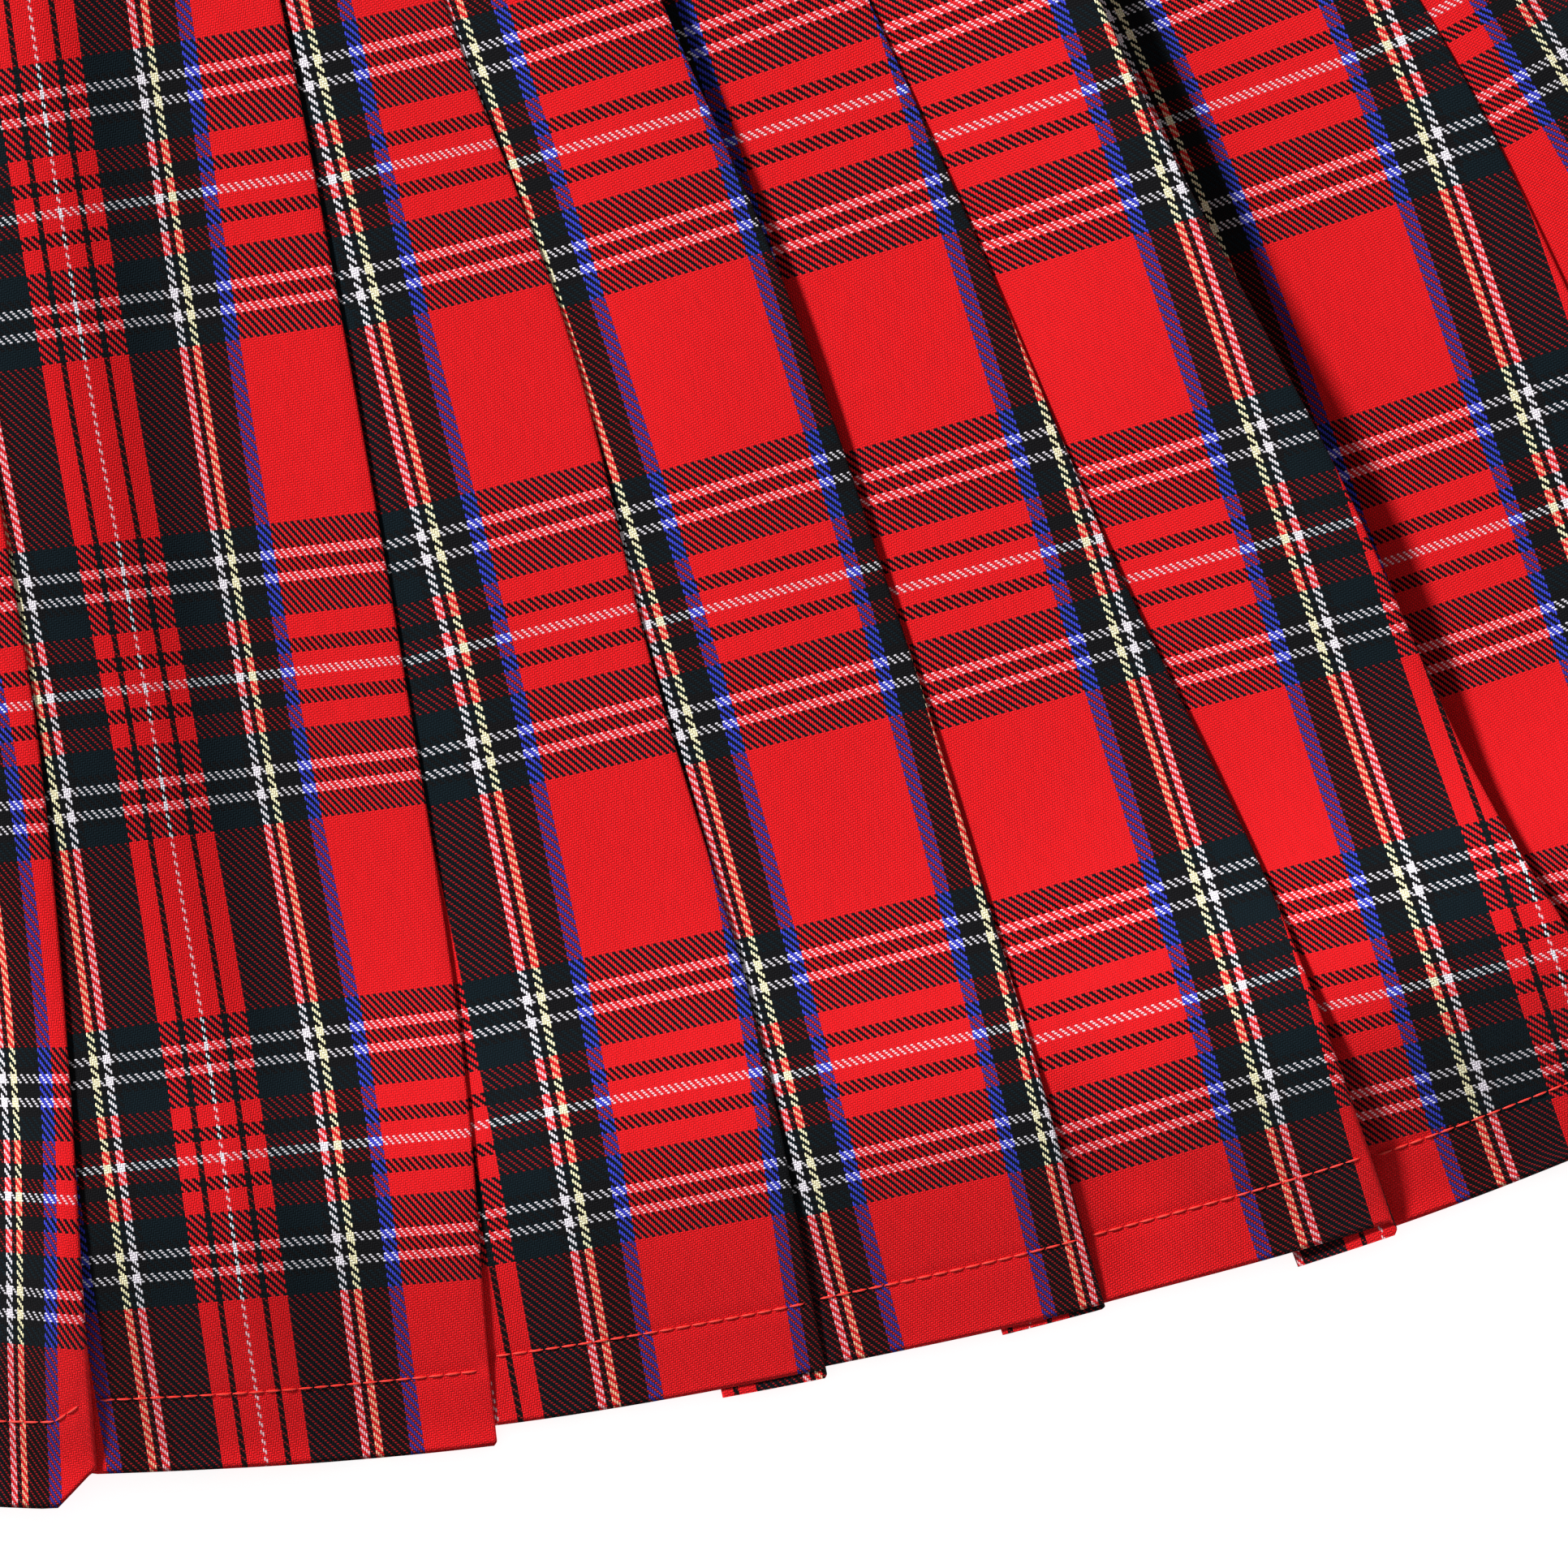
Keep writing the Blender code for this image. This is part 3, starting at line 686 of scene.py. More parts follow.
# Creases that the pressing and the lying have left. pleat: which one. across: from its neighbour's fold (0) to
# its own (1), at the crease's two ends; place: from waist (0) to hem (1), at the two ends. width and depth:
# half width of the soft trough or ridge and how deep (negative) or high it is.
Crease = namedtuple("Crease", "pleat across place width depth")
FRONT_CREASES = (
    Crease(1, (0.20, 0.55), (0.50, 0.80), 0.010, -0.0006),
    Crease(2, (0.70, 0.45), (0.30, 0.72), 0.008, 0.0005),
    Crease(4, (0.30, 0.60), (0.60, 0.95), 0.009, -0.0006),
    Crease(5, (0.55, 0.35), (0.35, 0.66), 0.010, 0.0005),
    Crease(7, (0.22, 0.30), (0.70, 1.02), 0.010, -0.0005),
    Crease(8, (0.30, 0.42), (0.45, 0.75), 0.012, 0.0004),
    Crease(9, (0.55, 0.40), (0.40, 0.75), 0.012, 0.0004),
    Crease(10, (0.16, 0.14), (0.88, 1.04), 0.007, -0.0012),
    Crease(10, (0.12, 0.62), (0.93, 0.99), 0.008, -0.0008),
    Crease(10, (0.55, 0.40), (0.78, 0.95), 0.010, 0.0005),
    Crease(11, (0.30, 0.50), (0.55, 0.80), 0.012, 0.0005),
    Crease(12, (0.18, 0.30), (0.40, 0.70), 0.010, -0.0010),
)
BACK_CREASES = (
    Crease(2, (0.30, 0.60), (0.40, 0.75), 0.009, 0.0005),
    Crease(5, (0.65, 0.40), (0.20, 0.60), 0.010, 0.0004),
    Crease(8, (0.35, 0.50), (0.55, 0.95), 0.009, 0.0005),
    Crease(11, (0.60, 0.35), (0.30, 0.80), 0.010, 0.0004),
)

# Soft humps that the front's layers share. crest: the angle of its top line at the waist and at the hem.
# width: half width across. power: 2 for an even round, more for a flat top with steeper sides. place and
# length: its middle and half length from waist (0) to hem (1).
Swell = namedtuple("Swell", "crest width power place length height")
FRONT_SWELLS = (
    Swell((-0.6, 1.8), 0.027, 2, 0.62, 0.50, 0.0045),
    Swell((-1.5, 3.9), 0.026, 4, 0.70, 0.60, 0.0080),
    Swell((34.6, 34.6), 0.036, 2, 0.52, 0.28, 0.0115),
    Swell((22.0, 24.0), 0.045, 2, 0.90, 0.065, 0.0034),
    Swell((-14.0, -15.0), 0.032, 2, 0.55, 0.35, 0.0040),
    Swell((-27.0, -28.0), 0.036, 2, 0.70, 0.30, 0.0045),
)


def crease_relief(creases):
    """A function that gives the height of all creases at each point of a sheet."""
    def relief(arcs, places, pleat_of, kind):
        height = np.zeros_like(arcs)
        for crease in creases:
            columns = np.flatnonzero((pleat_of == crease.pleat) & (kind == "face"))
            arc, place = arcs[:, columns], places[:, columns]
            face_width = arc[:, -1:] - arc[:, :1]
            share = (arc - arc[:, :1]) / face_width
            run = (place - crease.place[0]) / (crease.place[1] - crease.place[0])
            middle = crease.across[0] + (crease.across[1] - crease.across[0]) * run
            off = (share - middle) * face_width / crease.width
            ends = soft_step((run + CREASE_PAST_END) / CREASE_FADE)
            ends = ends * soft_step((1 + CREASE_PAST_END - run) / CREASE_FADE)
            sides = soft_step(share / CREASE_FROM_NEIGHBOUR) * soft_step((1 - share) / CREASE_FROM_FOLD)
            height[:, columns] += crease.depth * np.exp(-off ** 2) * ends * sides
        return height
    return relief


def set_inputs(tree, made, inputs):
    """Sets inputs of a node, each to a value, another node's output, or a node for its first output."""
    for key, value in inputs.items():
        if isinstance(value, bpy.types.Node):
            value = value.outputs[0]
        if isinstance(value, bpy.types.NodeSocket):
            tree.links.new(value, made.inputs[key])
        else:
            made.inputs[key].default_value = value


def node(tree, kind, inputs=None, **settings):
    """Adds a node with its settings and links."""
    made = tree.nodes.new(kind)
    for key, value in settings.items():
        setattr(made, key, value)
    set_inputs(tree, made, inputs or {})
    return made


def new_material(name):
    material = bpy.data.materials.new(name)
    material.use_nodes = True
    return material, material.node_tree, material.node_tree.nodes["Principled BSDF"]


def sett_colours(tree, thread_number, sett, brightness):
    """A yarn's colour and, as alpha, its brightness over a darker yarn, by its number folded at the mirrors."""
    half = sum(count for _, count in sett)
    middle = node(tree, "ShaderNodeMath", {0: thread_number, 1: 0.5}, operation="ADD")
    folded = node(tree, "ShaderNodeMath", {0: middle, 1: float(half)}, operation="PINGPONG")
    share = node(tree, "ShaderNodeMath", {0: folded, 1: float(half)}, operation="DIVIDE")
    ramp = node(tree, "ShaderNodeValToRGB", {0: share})
    ramp.color_ramp.interpolation = "CONSTANT"
    stops = ramp.color_ramp.elements
    place = 0
    for k, (colour, count) in enumerate(sett):
        if k < 2:
            stops[k].position = place / half
            stop = stops[k]
        else:
            stop = stops.new(place / half)
        stop.color = (*linear(YARN_COLOURS[colour])[:3], brightness[colour])
        place += count
    return ramp.outputs["Color"], ramp.outputs["Alpha"]


def yarn_float(tree, edge, tip):
    """How high a float of yarn stands at a point, from the distances to the float's edges and to its tips."""
    round_side = node(tree, "ShaderNodeMath", {0: edge, 1: SIDE_ROUNDING}, operation="POWER")
    sunk_tip = node(tree, "ShaderNodeMath", {0: tip, 1: TIP_ROUNDING}, operation="POWER")
    return node(tree, "ShaderNodeMath", {0: round_side, 1: sunk_tip}, operation="MULTIPLY")


def oval(tree, edge, tip, tip_power, size):
    """1 inside the oval part of a float that shows its own colour, 0 outside it."""
    off_edge = node(tree, "ShaderNodeMath", {0: 1.0, 1: edge}, operation="SUBTRACT")
    off_tip = node(tree, "ShaderNodeMath", {0: 1.0, 1: tip}, operation="SUBTRACT")
    edge_part = node(tree, "ShaderNodeMath", {0: off_edge, 1: 2.0}, operation="POWER")
    tip_part = node(tree, "ShaderNodeMath", {0: off_tip, 1: tip_power}, operation="POWER")
    off_middle = node(tree, "ShaderNodeMath", {0: edge_part, 1: tip_part}, operation="ADD")
    return node(tree, "ShaderNodeMath", {0: off_middle, 1: size}, operation="LESS_THAN")


def tartan_twill():
    """Worsted-look poly-viscose tartan, a 2/2 twill: matt and full-coloured, with fine diagonal ribs of yarn.

    The stripes are warp and weft yarns of several colours, so a crossing of two colours shows both as
    diagonals: a bright yarn shows over a dark one only as oval beads, and takes a tint from it.
    Threads are drawn at their real pitch, about 31 ends and 24 picks to the centimetre.
    """
    material, tree, shader = new_material("worsted_tartan_twill")
    count = node(tree, "ShaderNodeUVMap", uv_map="thread_count")
    split = node(tree, "ShaderNodeSeparateXYZ", {0: count})
    across, up = split.outputs[0], split.outputs[1]
    end = node(tree, "ShaderNodeMath", {0: across}, operation="FLOOR")
    pick = node(tree, "ShaderNodeMath", {0: up}, operation="FLOOR")

    # Which system lies on top: two over, two under, one end further on at each pick down
    step = node(tree, "ShaderNodeMath", {0: end, 1: pick}, operation="ADD")
    diagonal = node(tree, "ShaderNodeMath", {0: step, 1: 4.0}, operation="FLOORED_MODULO")
    weft_up = node(tree, "ShaderNodeMath", {0: diagonal, 1: 1.5}, operation="GREATER_THAN")
    warp_colour, warp_bright = sett_colours(tree, end, WARP_SETT, END_BRIGHTNESS)
    weft_colour, weft_bright = sett_colours(tree, pick, WEFT_SETT, PICK_BRIGHTNESS)
    top = node(tree, "ShaderNodeMix", {0: weft_up, 6: warp_colour, 7: weft_colour},
               data_type="RGBA").outputs[2]
    under = node(tree, "ShaderNodeMix", {0: weft_up, 6: weft_colour, 7: warp_colour},
                 data_type="RGBA").outputs[2]
    bright = node(tree, "ShaderNodeMix", {0: weft_up, 2: warp_bright, 3: weft_bright})

    # Distances from each float's edges and tips, 0 there and 1 on its middle
    across_twice = node(tree, "ShaderNodeMath", {0: across, 1: 2.0}, operation="MULTIPLY")
    up_twice = node(tree, "ShaderNodeMath", {0: up, 1: 2.0}, operation="MULTIPLY")
    end_edge = node(tree, "ShaderNodeMath", {0: across_twice, 1: 1.0}, operation="PINGPONG")
    pick_edge = node(tree, "ShaderNodeMath", {0: up_twice, 1: 1.0}, operation="PINGPONG")
    end_run = node(tree, "ShaderNodeMath", {0: end, 1: up}, operation="ADD")
    pick_run = node(tree, "ShaderNodeMath", {0: across, 1: pick}, operation="ADD")
    end_tip = node(tree, "ShaderNodeMath", {0: end_run, 1: 1.0}, operation="PINGPONG")
    pick_tip = node(tree, "ShaderNodeMath", {0: pick_run, 1: 1.0}, operation="PINGPONG")
    yarn = node(tree, "ShaderNodeMix", {0: weft_up, 2: yarn_float(tree, end_edge, end_tip),
                                        3: yarn_float(tree, pick_edge, pick_tip)})

    # The upper yarn's colour: tinted by a bright one under it, and dimmer over a dark one, a painted shade from
    # the dark yarns beside it
    under_light = node(tree, "ShaderNodeRGBToBW", {0: under})
    tint_share = node(tree, "ShaderNodeMath", {0: under_light, 1: TINT_BY_LIGHT}, operation="MULTIPLY",
                      use_clamp=True)
    under_hue = node(tree, "ShaderNodeVectorMath", {0: under}, operation="NORMALIZE")
    strong_hue = node(tree, "ShaderNodeVectorMath", {0: under_hue, "Scale": math.sqrt(3)}, operation="SCALE")
    under_tint = node(tree, "ShaderNodeVectorMath", {0: strong_hue, 1: (1.0, 1.0, 1.0)}, operation="MINIMUM")
    tint = node(tree, "ShaderNodeMix", {0: tint_share, 6: (1.0, 1.0, 1.0, 1.0), 7: under_tint},
                data_type="RGBA").outputs[2]
    over_dark = node(tree, "ShaderNodeMath", {0: under_light, 1: DARK_YARN_LIGHT}, operation="LESS_THAN")
    # Painted shade: a float over a dark yarn is darkened by its brightness factor
    painted_float_shade = node(tree, "ShaderNodeMix", {0: over_dark, 2: 1.0, 3: bright})
    tinted = node(tree, "ShaderNodeVectorMath", {0: top, 1: tint}, operation="MULTIPLY")
    bead = node(tree, "ShaderNodeVectorMath", {0: tinted, "Scale": painted_float_shade}, operation="SCALE")

    # Outside the beads the darker yarn shows, in the shadow of the floats
    bead_size = node(tree, "ShaderNodeMath", {0: weft_bright, 1: BEAD_BY_BRIGHTNESS, 2: LEAST_BEAD},
                     operation="MULTIPLY_ADD")
    in_bead = node(tree, "ShaderNodeMix", {0: weft_up, 2: oval(tree, end_edge, end_tip, 4.0, 1.0),
                                           3: oval(tree, pick_edge, pick_tip, 2.0, bead_size)})
    darker = node(tree, "ShaderNodeVectorMath", {0: top, 1: under}, operation="MINIMUM")
    between = node(tree, "ShaderNodeVectorMath", {0: darker, "Scale": GAP_SHADOW}, operation="SCALE")
    colour = node(tree, "ShaderNodeMix", {0: in_bead, 6: between, 7: bead}, data_type="RGBA").outputs[2]

    # Yarns differ a little in tone; painted shade darkens the gaps between floats, and painted light brightens
    # their crowns
    along_pick = node(tree, "ShaderNodeMath", {0: across, 1: 0.5}, operation="MULTIPLY")
    along_end = node(tree, "ShaderNodeMath", {0: up, 1: 0.11}, operation="MULTIPLY")
    place = node(tree, "ShaderNodeCombineXYZ", {0: along_pick, 1: along_end})
    slub = node(tree, "ShaderNodeTexNoise", {"Vector": place, "Scale": 1.0, "Detail": 3.0})
    shade = node(tree, "ShaderNodeMapRange", {0: slub, 3: 0.80, 4: 1.18})
    gap = node(tree, "ShaderNodeMapRange", {0: yarn, 3: 0.45, 4: 1.20})
    light = node(tree, "ShaderNodeMath", {0: shade, 1: gap}, operation="MULTIPLY")
    shaded = node(tree, "ShaderNodeVectorMath", {0: colour, "Scale": light}, operation="SCALE")
    bump = node(tree, "ShaderNodeBump", {"Height": yarn, "Strength": 0.85, "Distance": 0.00018})
    set_inputs(tree, shader, {"Base Color": shaded, "Normal": bump, "Roughness": 0.85,
                              "Specular IOR Level": 0.12, "Sheen Weight": 0.02, "Sheen Roughness": 0.45})
    return material


def times(colour, factor):
    """A linear colour made darker or lighter."""
    return (*[factor * value for value in colour[:3]], 1.0)


def polyester_thread(name, hex_colour):
    """Spun polyester sewing thread: two plies twisted, with a soft sheen."""
    material, tree, shader = new_material(name)
    pale = linear(hex_colour)
    place = node(tree, "ShaderNodeTexCoord").outputs["Object"]
    twist = node(tree, "ShaderNodeTexNoise", {"Vector": place, "Scale": 2600.0, "Detail": 1.0})
    plies = node(tree, "ShaderNodeMix", {0: twist, 6: pale, 7: times(pale, 0.6)}, data_type="RGBA")
    set_inputs(tree, shader, {"Base Color": plies.outputs[2], "Roughness": 0.55, "Sheen Weight": 0.2})
    return material


def moulded_polyester():
    """Moulded polyester button: dark brown, clouded a little like horn, with a satin gloss."""
    material, tree, shader = new_material("moulded_polyester")
    dark = linear(BUTTON_BROWN)
    place = node(tree, "ShaderNodeTexCoord").outputs["Object"]
    cloud = node(tree, "ShaderNodeTexNoise",
                 {"Vector": place, "Scale": 240.0, "Detail": 4.0, "Distortion": 1.2})
    horn = node(tree, "ShaderNodeMix", {0: cloud, 6: dark, 7: times(dark, 2.1)}, data_type="RGBA")
    rough = node(tree, "ShaderNodeMapRange", {0: cloud, 3: 0.28, 4: 0.42})
    set_inputs(tree, shader, {"Base Color": horn.outputs[2], "Roughness": rough})
    return material


def pale_floor():
    """A white lit table top: matt, and so bright that it shows no shadow."""
    material, tree, shader = new_material("white_table_top")
    set_inputs(tree, shader, {"Base Color": linear(FLOOR_WHITE), "Roughness": 0.9,
                              "Emission Color": (1.0, 1.0, 1.0, 1.0), "Emission Strength": 0.8})
    return material


def ring_faces(first, rings, sides):
    """Quads between rings of points that follow each other, the first ring starting at the given point."""
    faces = []
    for start in range(first, first + (rings - 1) * sides, sides):
        for k in range(sides):
            one, two = start + k, start + (k + 1) % sides
            faces.append((one, two, two + sides, one + sides))
    return faces


def stitches(name, runs, material):
    """Many short stitches in one mesh: each is a spindle of thread between two points, laid on the cloth."""
    sides, rings = 6, ((0.0, 0.35), (0.25, 1.0), (0.75, 1.0), (1.0, 0.35))
    turn = np.arange(sides) * math.tau / sides
    points, faces = [], []
    for start, end, normal in runs:
        start, end, normal = np.array(start), np.array(end), np.array(normal)
        line = end - start
        side = np.cross(normal, line)
        side /= np.linalg.norm(side)
        faces += ring_faces(len(points), len(rings), sides)
        for share, girth in rings:
            middle = start + line * share + normal * STITCH_ARCH * math.sin(math.pi * share)
            for t in turn:
                points.append(middle + THREAD_WIDTH / 2 * girth * (side * math.cos(t) + normal * math.sin(t)))
    return mesh_object(name, np.array(points), np.array(faces), material)


def stitch_runs(points, normals):
    """Start, end and normal of each stitch along a line of surface points."""
    walked = way_along(points)

    def at(values, way):
        return np.array([np.interp(way, walked, column) for column in values.T])

    runs = []
    for start in np.arange(STITCH_PITCH / 2, walked[-1] - STITCH_PITCH, STITCH_PITCH):
        normal = at(normals, start + STITCH_LENGTH / 2)
        normal /= np.linalg.norm(normal)
        lift = normal * STITCH_LIFT
        runs.append((at(points, start) + lift, at(points, start + STITCH_LENGTH) + lift, normal))
    return runs


def hem_stitches(name, grid, from_hem, pleat_of, kind, outward, material):
    """The hem's line of stitches on every face of a panel."""
    row = int(np.argmin(np.abs(from_hem - HEM_STITCH_HEIGHT)))
    across = np.gradient(grid[row], axis=0)
    down = grid[row + 1] - grid[row - 1]
    normals = np.cross(down, across)
    normals /= np.linalg.norm(normals, axis=1)[:, None]
    normals *= np.sign(normals[:, 2:] * outward)
    runs = []
    for k in range(pleat_of.max() + 1):
        columns = np.flatnonzero((pleat_of == k) & (kind == "face"))
        runs += stitch_runs(grid[row, columns], normals[columns])
    return stitches(name, runs, material)


def band_stations():
    """The band's middle line as (along, height): front, left turn, back, right turn, lap under the front."""
    bottom = BAND_WALL / 2
    top = BAND_THICKNESS - BAND_WALL / 2
    lap = (bottom + top) / 2
    reach = math.radians(SIDE_ANGLE) * waist_radius(SIDE_ANGLE)
    turn_in = top / 2
    line = [(s, top) for s in np.linspace(reach, -reach + turn_in, BAND_STATIONS)]
    arcs, heights = half_turn(-reach + turn_in, top, bottom, -1.0, BAND_TURN_STEPS)
    line += list(zip(arcs[1:], heights[1:]))
    line += [(s, bottom) for s in np.linspace(-reach + turn_in, reach - turn_in, BAND_STATIONS)[1:]]
    arcs, heights = half_turn(reach - turn_in, bottom, lap, 1.0, LAP_TURN_STEPS)
    line += list(zip(arcs[1:], heights[1:]))
    line += [(reach - turn_in - BAND_LAP * share, lap) for share in np.linspace(0, 1, LAP_STATIONS)[1:]]
    return np.array(line)


def band_ring():
    """The band's section as (down the band, out of its middle line): two cloth sides with stitched round edges."""
    half, wall = BAND_HEIGHT / 2, BAND_WALL / 2
    low = [half * BAND_INNER_SHARE, half - BAND_FLAT_INSET, half - EDGE_STITCH_INSET, half - wall]
    low_out = [1.0, 1.0, BAND_STITCH_DENT, BAND_EDGE_OUT]
    downs = [-down for down in low[::-1]] + [0.0] + low
    outs = [wall * out for out in low_out[::-1] + [1.0] + low_out]
    edge = [(half - wall + wall * math.sin(t), wall * BAND_EDGE_ROUND * math.cos(t)) for t in BAND_EDGE_ANGLES]
    side = list(zip(downs, outs)) + edge
    return np.array(side + [(-down, -out) for down, out in side])


def band_points(line, ring):
    """Points of the band: (station, ring) with the ring set square to the line and down the fan."""
    step = np.gradient(line, axis=0)
    step /= np.hypot(step[:, 0], step[:, 1])[:, None]
    out = np.stack([step[:, 1], -step[:, 0]], -1)
    arc = line[:, None, 0] + out[:, None, 0] * ring[None, :, 1]
    height = line[:, None, 1] + out[:, None, 1] * ring[None, :, 1]
    angle = from_arc(arc, np.zeros_like(arc))
    radius = waist_radius(angle) - SEAM_GAP - BAND_HEIGHT / 2 + ring[None, :, 0]
    x, y = plan_point(angle, radius)
    return np.stack([x, y, height], -1)


def waistband_piece(material):
    """The waistband: a stiffened strip of the tartan, turned in and edge-stitched, lapped at the right."""
    line, ring = band_stations(), band_ring()
    points = band_points(line, ring)
    walked = way_along(line)
    around = way_along(np.concatenate([ring, ring[:1]]))
    rows, columns = points.shape[:2]
    index = np.arange(rows * (columns + 1)).reshape(rows, columns + 1)
    closed = np.concatenate([points, points[:, :1]], 1)
    threads = np.stack(np.broadcast_arrays(walked[:, None] / END_PITCH, around[None] / PICK_PITCH), -1)
    quads = np.stack([index[:-1, :-1], index[:-1, 1:], index[1:, 1:], index[1:, :-1]], -1).reshape(-1, 4)
    caps = []
    for row, order in ((0, 1), (rows - 1, -1)):
        loop = list(index[row, :columns])[::order]
        for k in range(1, columns // 2):
            caps.append((loop[k - 1], loop[k], loop[columns - 1 - k], loop[(columns - k) % columns]))
    faces = np.concatenate([quads, np.array(caps)])
    made = mesh_object("tartan_waistband", closed.reshape(-1, 3), faces, material, threads.reshape(-1, 2))
    return made, line


def band_stitches(line, material):
    """Edge stitching along both edges of the band, on its outer side."""
    runs = []
    for down in (-BAND_HEIGHT / 2 + EDGE_STITCH_INSET, BAND_HEIGHT / 2 - EDGE_STITCH_INSET):
        points = band_points(line, np.array([(down, BAND_WALL / 2 * BAND_STITCH_DENT)]))[:, 0]
        inner = band_points(line, np.array([(down, 0.0)]))[:, 0]
        normals = points - inner
        normals /= np.linalg.norm(normals, axis=1)[:, None]
        runs += stitch_runs(points, normals)
    return stitches("band_edge_stitches", runs, material)


def button_place():
    angle = SIDE_ANGLE - math.degrees(BUTTON_INSET / waist_radius(SIDE_ANGLE))
    radius = waist_radius(angle) - SEAM_GAP - BAND_HEIGHT / 2
    x, y = plan_point(angle, radius)
    return angle, np.array([x, y, BAND_THICKNESS + SEAM_GAP])


def button_piece(material):
    """A turned four-hole button with a rolled rim and a dished face."""
    r, h = BUTTON_RADIUS, BUTTON_THICKNESS
    rim, face = BUTTON_RIM / 2, h - BUTTON_DISH
    outline = [(r * across, h * up) for across, up in BUTTON_BACK]
    outline += [(r - rim + rim * math.cos(t), h - rim + rim * math.sin(t))
                for t in np.linspace(0.0, math.pi, BUTTON_RIM_POINTS)]
    outline += [(r - BUTTON_RIM * 1.3, h - BUTTON_DISH * 0.8), (r - BUTTON_RIM * 1.9, face), (0.0, face)]
    sides = BUTTON_SIDES
    turn = np.arange(sides) * math.tau / sides
    inner = outline[1:-1]
    points = [(0.0, 0.0, 0.0)]
    for x, z in inner:
        points += [(x * math.cos(t), x * math.sin(t), z) for t in turn]
    points.append((0.0, 0.0, outline[-1][1]))
    last = 1 + (len(inner) - 1) * sides
    data = bpy.data.meshes.new("sewn_button")
    bottom = tuple(range(sides, 0, -1))
    top = tuple(range(last, last + sides))
    data.from_pydata(points, [], ring_faces(1, len(inner), sides) + [bottom, top])
    data.update()
    button = add_object("sewn_button", data)
    data.materials.append(material)
    for k, (x, y) in enumerate(hole_places()):
        cut_hole(button, k, x, y)
    apply_modifiers(button)
    button.data.shade_smooth()
    button.data.set_sharp_from_angle(angle=math.radians(BUTTON_SHARP_ANGLE))
    angle, middle = button_place()
    button.location = middle
    button.rotation_euler = (0.0, 0.0, math.radians(angle))
    return button


def hole_places():
    half = BUTTON_HOLE_PITCH / 2
    return ((half, half), (-half, half), (-half, -half), (half, -half))


def cut_hole(button, number, x, y):
    bpy.ops.mesh.primitive_cylinder_add(vertices=BUTTON_HOLE_SIDES, radius=BUTTON_HOLE_RADIUS,
                                        depth=4 * BUTTON_THICKNESS)
    cutter = bpy.context.active_object
    cutter.name = f"hole_cutter_{number}"
    cutter.location = (x, y, BUTTON_THICKNESS / 2)
    bpy.context.view_layer.update()
    cut = button.modifiers.new(f"hole_{number}", "BOOLEAN")
    cut.operation = "DIFFERENCE"
    cut.object = cutter


def apply_modifiers(piece):
    """Keeps the shape that the modifiers give, and removes what they used."""
    used = [m.object for m in piece.modifiers if m.type == "BOOLEAN"]
    graph = bpy.context.evaluated_depsgraph_get()
    shaped = bpy.data.meshes.new_from_object(piece.evaluated_get(graph))
    piece.modifiers.clear()
    piece.data = shaped
    for cutter in used:
        bpy.data.objects.remove(cutter, do_unlink=True)


def button_threads(material):
    """Two bars of thread across the button's holes, and the satin stitches round the buttonhole."""
    angle, middle = button_place()
    turn = math.radians(angle)
    right = np.array([math.cos(turn), math.sin(turn), 0.0])
    up = np.array([-math.sin(turn), math.cos(turn), 0.0])
    face = middle + np.array([0.0, 0.0, BUTTON_THICKNESS - BUTTON_DISH])
    half = BUTTON_HOLE_PITCH / 2
    normal = np.array([0.0, 0.0, 1.0])
    runs = []
    for side in (-1, 1):
        for strand in BUTTON_STRANDS:
            base = face + up * (side * half + strand) + normal * BUTTON_STRAND_LIFT
            runs.append((base - right * half, base + right * half, normal))
    hole_start = middle - right * BUTTONHOLE_START
    hole_start[2] = BAND_THICKNESS + SATIN_LIFT
    for side in (-1, 1):
        for k in range(int(BUTTONHOLE_LENGTH / SATIN_PITCH)):
            base = hole_start - right * (k * SATIN_PITCH) + up * side * SLIT_HALF_WIDTH
            runs.append((base, base + up * side * SATIN_LENGTH, normal))
    end = hole_start - right * (BUTTONHOLE_LENGTH - TACK_INSET)
    for k in range(TACK_STITCHES):
        bar = end + right * (k * TACK_PITCH)
        runs.append((bar - up * TACK_HALF_LENGTH, bar + up * TACK_HALF_LENGTH, normal))
    return stitches("button_threads", runs, material)


def set_camera():
    """Straight above the part of the front that the close-up shows, with a long lens."""
    photo_side = 1932
    pixels_per_metre = 6800.0
    left_pixel, top_pixel = -77.0, -2820.0
    across = (photo_side / 2 - left_pixel) / pixels_per_metre
    down = FAN_POINT_Y - (photo_side / 2 - top_pixel) / pixels_per_metre
    distance, cloth_height = 2.6, 0.009
    data = bpy.data.cameras.new("camera")
    data.sensor_width = 36.0
    data.lens = data.sensor_width * (distance - cloth_height) / (photo_side / pixels_per_metre)
    data.clip_end = 20.0
    camera = add_object("camera", data)
    camera.location = (across, down, distance)
    bpy.context.scene.camera = camera


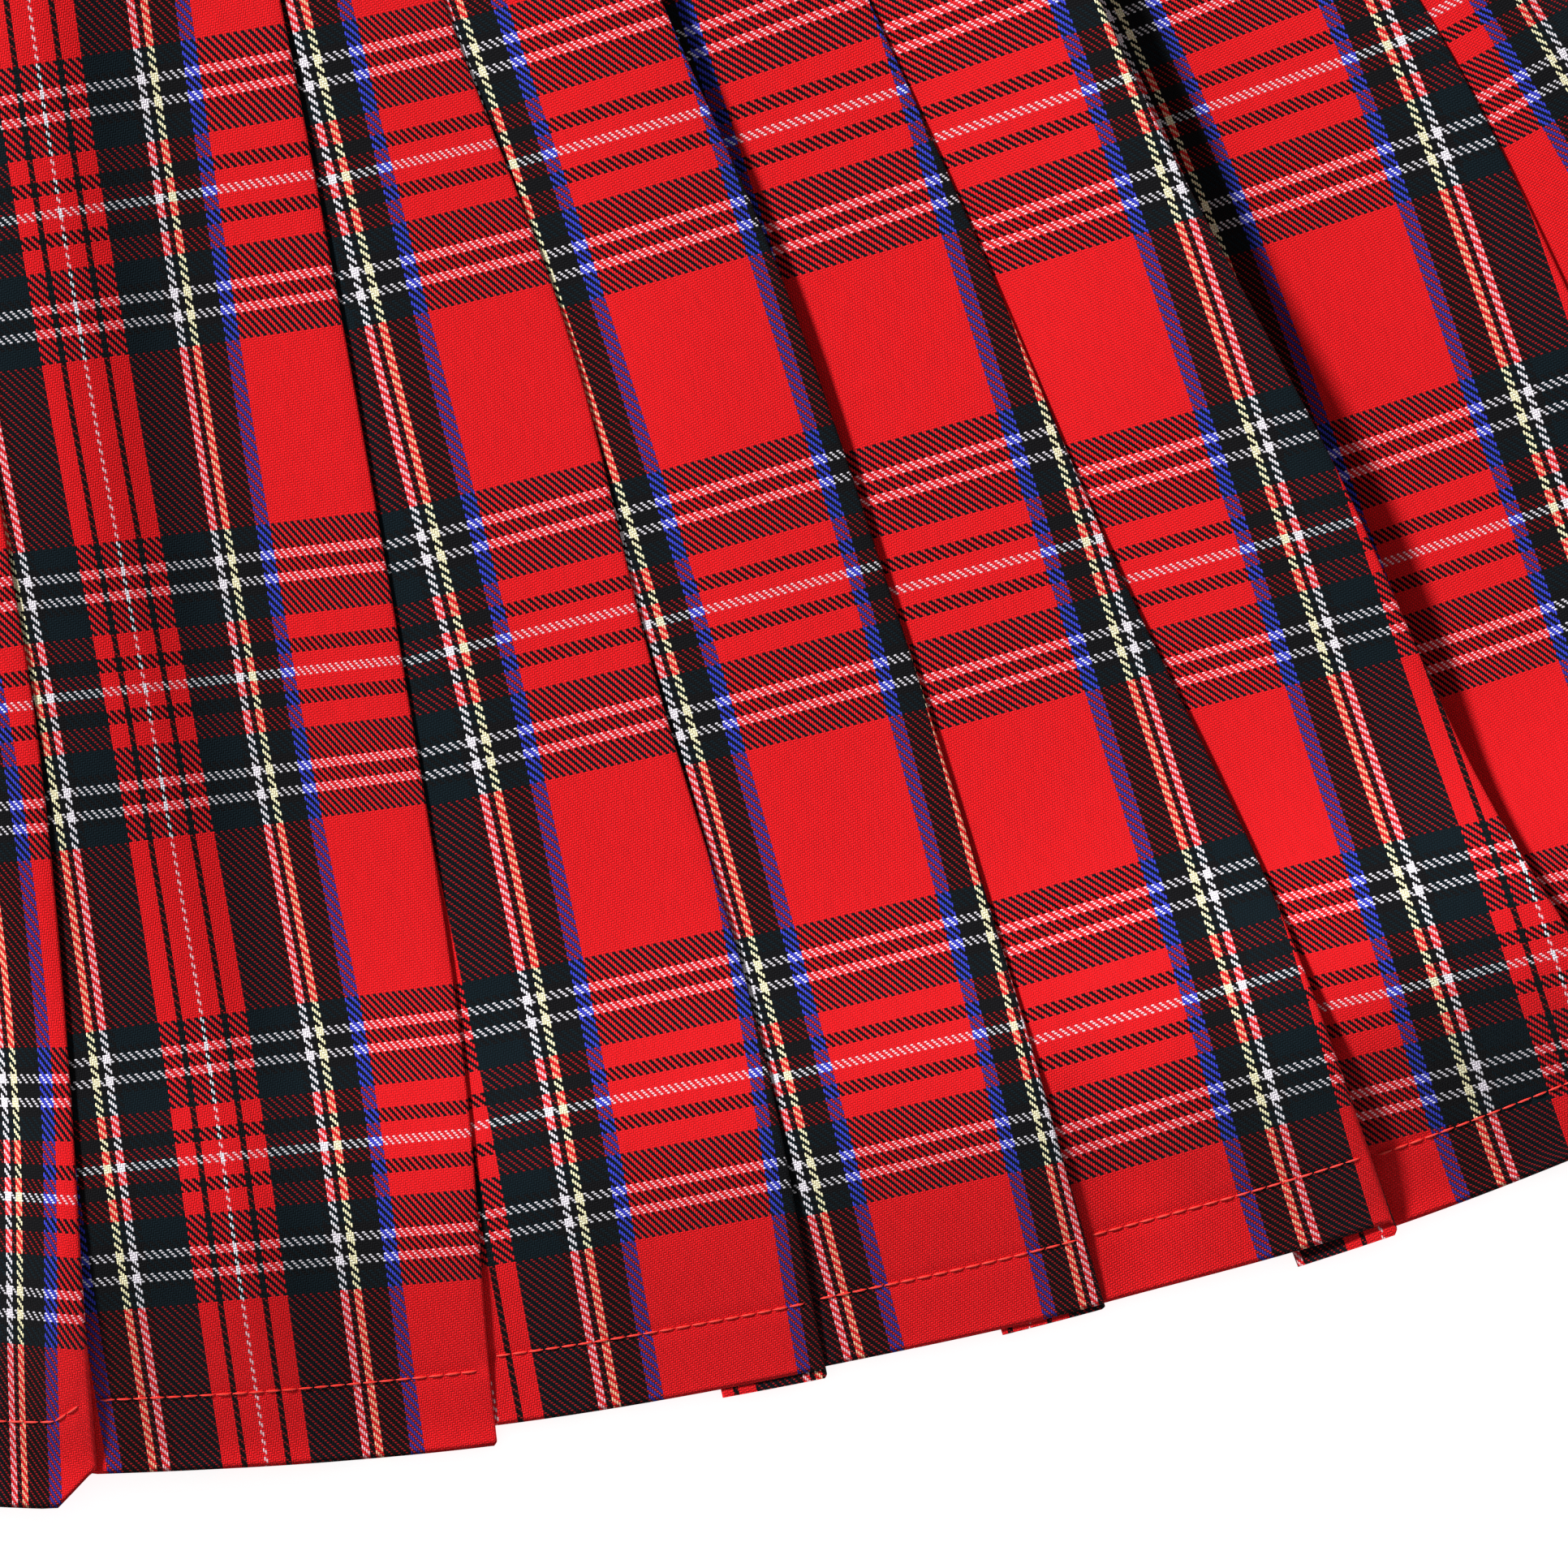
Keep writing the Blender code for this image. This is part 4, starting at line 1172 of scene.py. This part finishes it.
def set_light():
    """One soft lamp from the upper left and an even pale surround."""
    lamp = bpy.data.lights.new("soft_lamp", "SUN")
    lamp.energy = LAMP_STRENGTH
    lamp.angle = math.radians(LAMP_WIDTH)
    holder = add_object("soft_lamp", lamp)
    x, y, z = LAMP_DIRECTION
    holder.rotation_euler = (0.0, math.atan2(math.hypot(x, y), z), math.atan2(y, x))
    world = bpy.data.worlds.new("pale_surround")
    world.use_nodes = True
    background = world.node_tree.nodes["Background"]
    set_inputs(world.node_tree, background, {"Color": (1.0, 1.0, 1.0, 1.0), "Strength": SURROUND_STRENGTH})
    bpy.context.scene.world = world
    bpy.context.scene.view_settings.view_transform = "Standard"


def set_floor():
    points = np.array([(-2.0, -2.0, 0.0), (2.0, -2.0, 0.0), (2.0, 2.0, 0.0), (-2.0, 2.0, 0.0)])
    floor = mesh_object("table_top", points, np.array([(0, 1, 2, 3)]), pale_floor())


def front_stripes():
    return [(p.stripe, p.stripe_end, p.spread, p.weft_line, p.skew) for p in FRONT_PLEATS]


def back_stripes():
    return [(straight(p.stripe_waist, p.stripe_hem), BLUE_LEFT, EVEN, (p.weft_line, p.weft_line), (0, 0))
            for p in BACK_PLEATS]


def main():
    set_camera()
    set_light()
    set_floor()
    tartan = tartan_twill()
    red_thread = polyester_thread("red_polyester_thread", THREAD_RED)
    brown_thread = polyester_thread("brown_polyester_thread", THREAD_BROWN)

    front, grid, from_hem, pleat_of, kind = panel_sheet("pleated_front", front_section, front_stripes(),
                                                        crease_relief(FRONT_CREASES), 1.0, tartan)
    front_hem = hem_stitches("front_hem_stitches", grid, from_hem, pleat_of, kind, 1.0, red_thread)
    back, grid, from_hem, pleat_of, kind = panel_sheet("pleated_back", back_section, back_stripes(),
                                                       crease_relief(BACK_CREASES), -1.0, tartan)
    back_hem = hem_stitches("back_hem_stitches", grid, from_hem, pleat_of, kind, -1.0, red_thread)
    band, line = waistband_piece(tartan)
    band_edge = band_stitches(line, red_thread)
    button = button_piece(moulded_polyester())
    threads = button_threads(brown_thread)

    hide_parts("front_panel")
    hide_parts("back_panel")
    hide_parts("waistband")
    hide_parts("waist_button")
    for piece in (front, back, band, front_hem, back_hem, band_edge, button, threads):
        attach(piece, "root")


main()
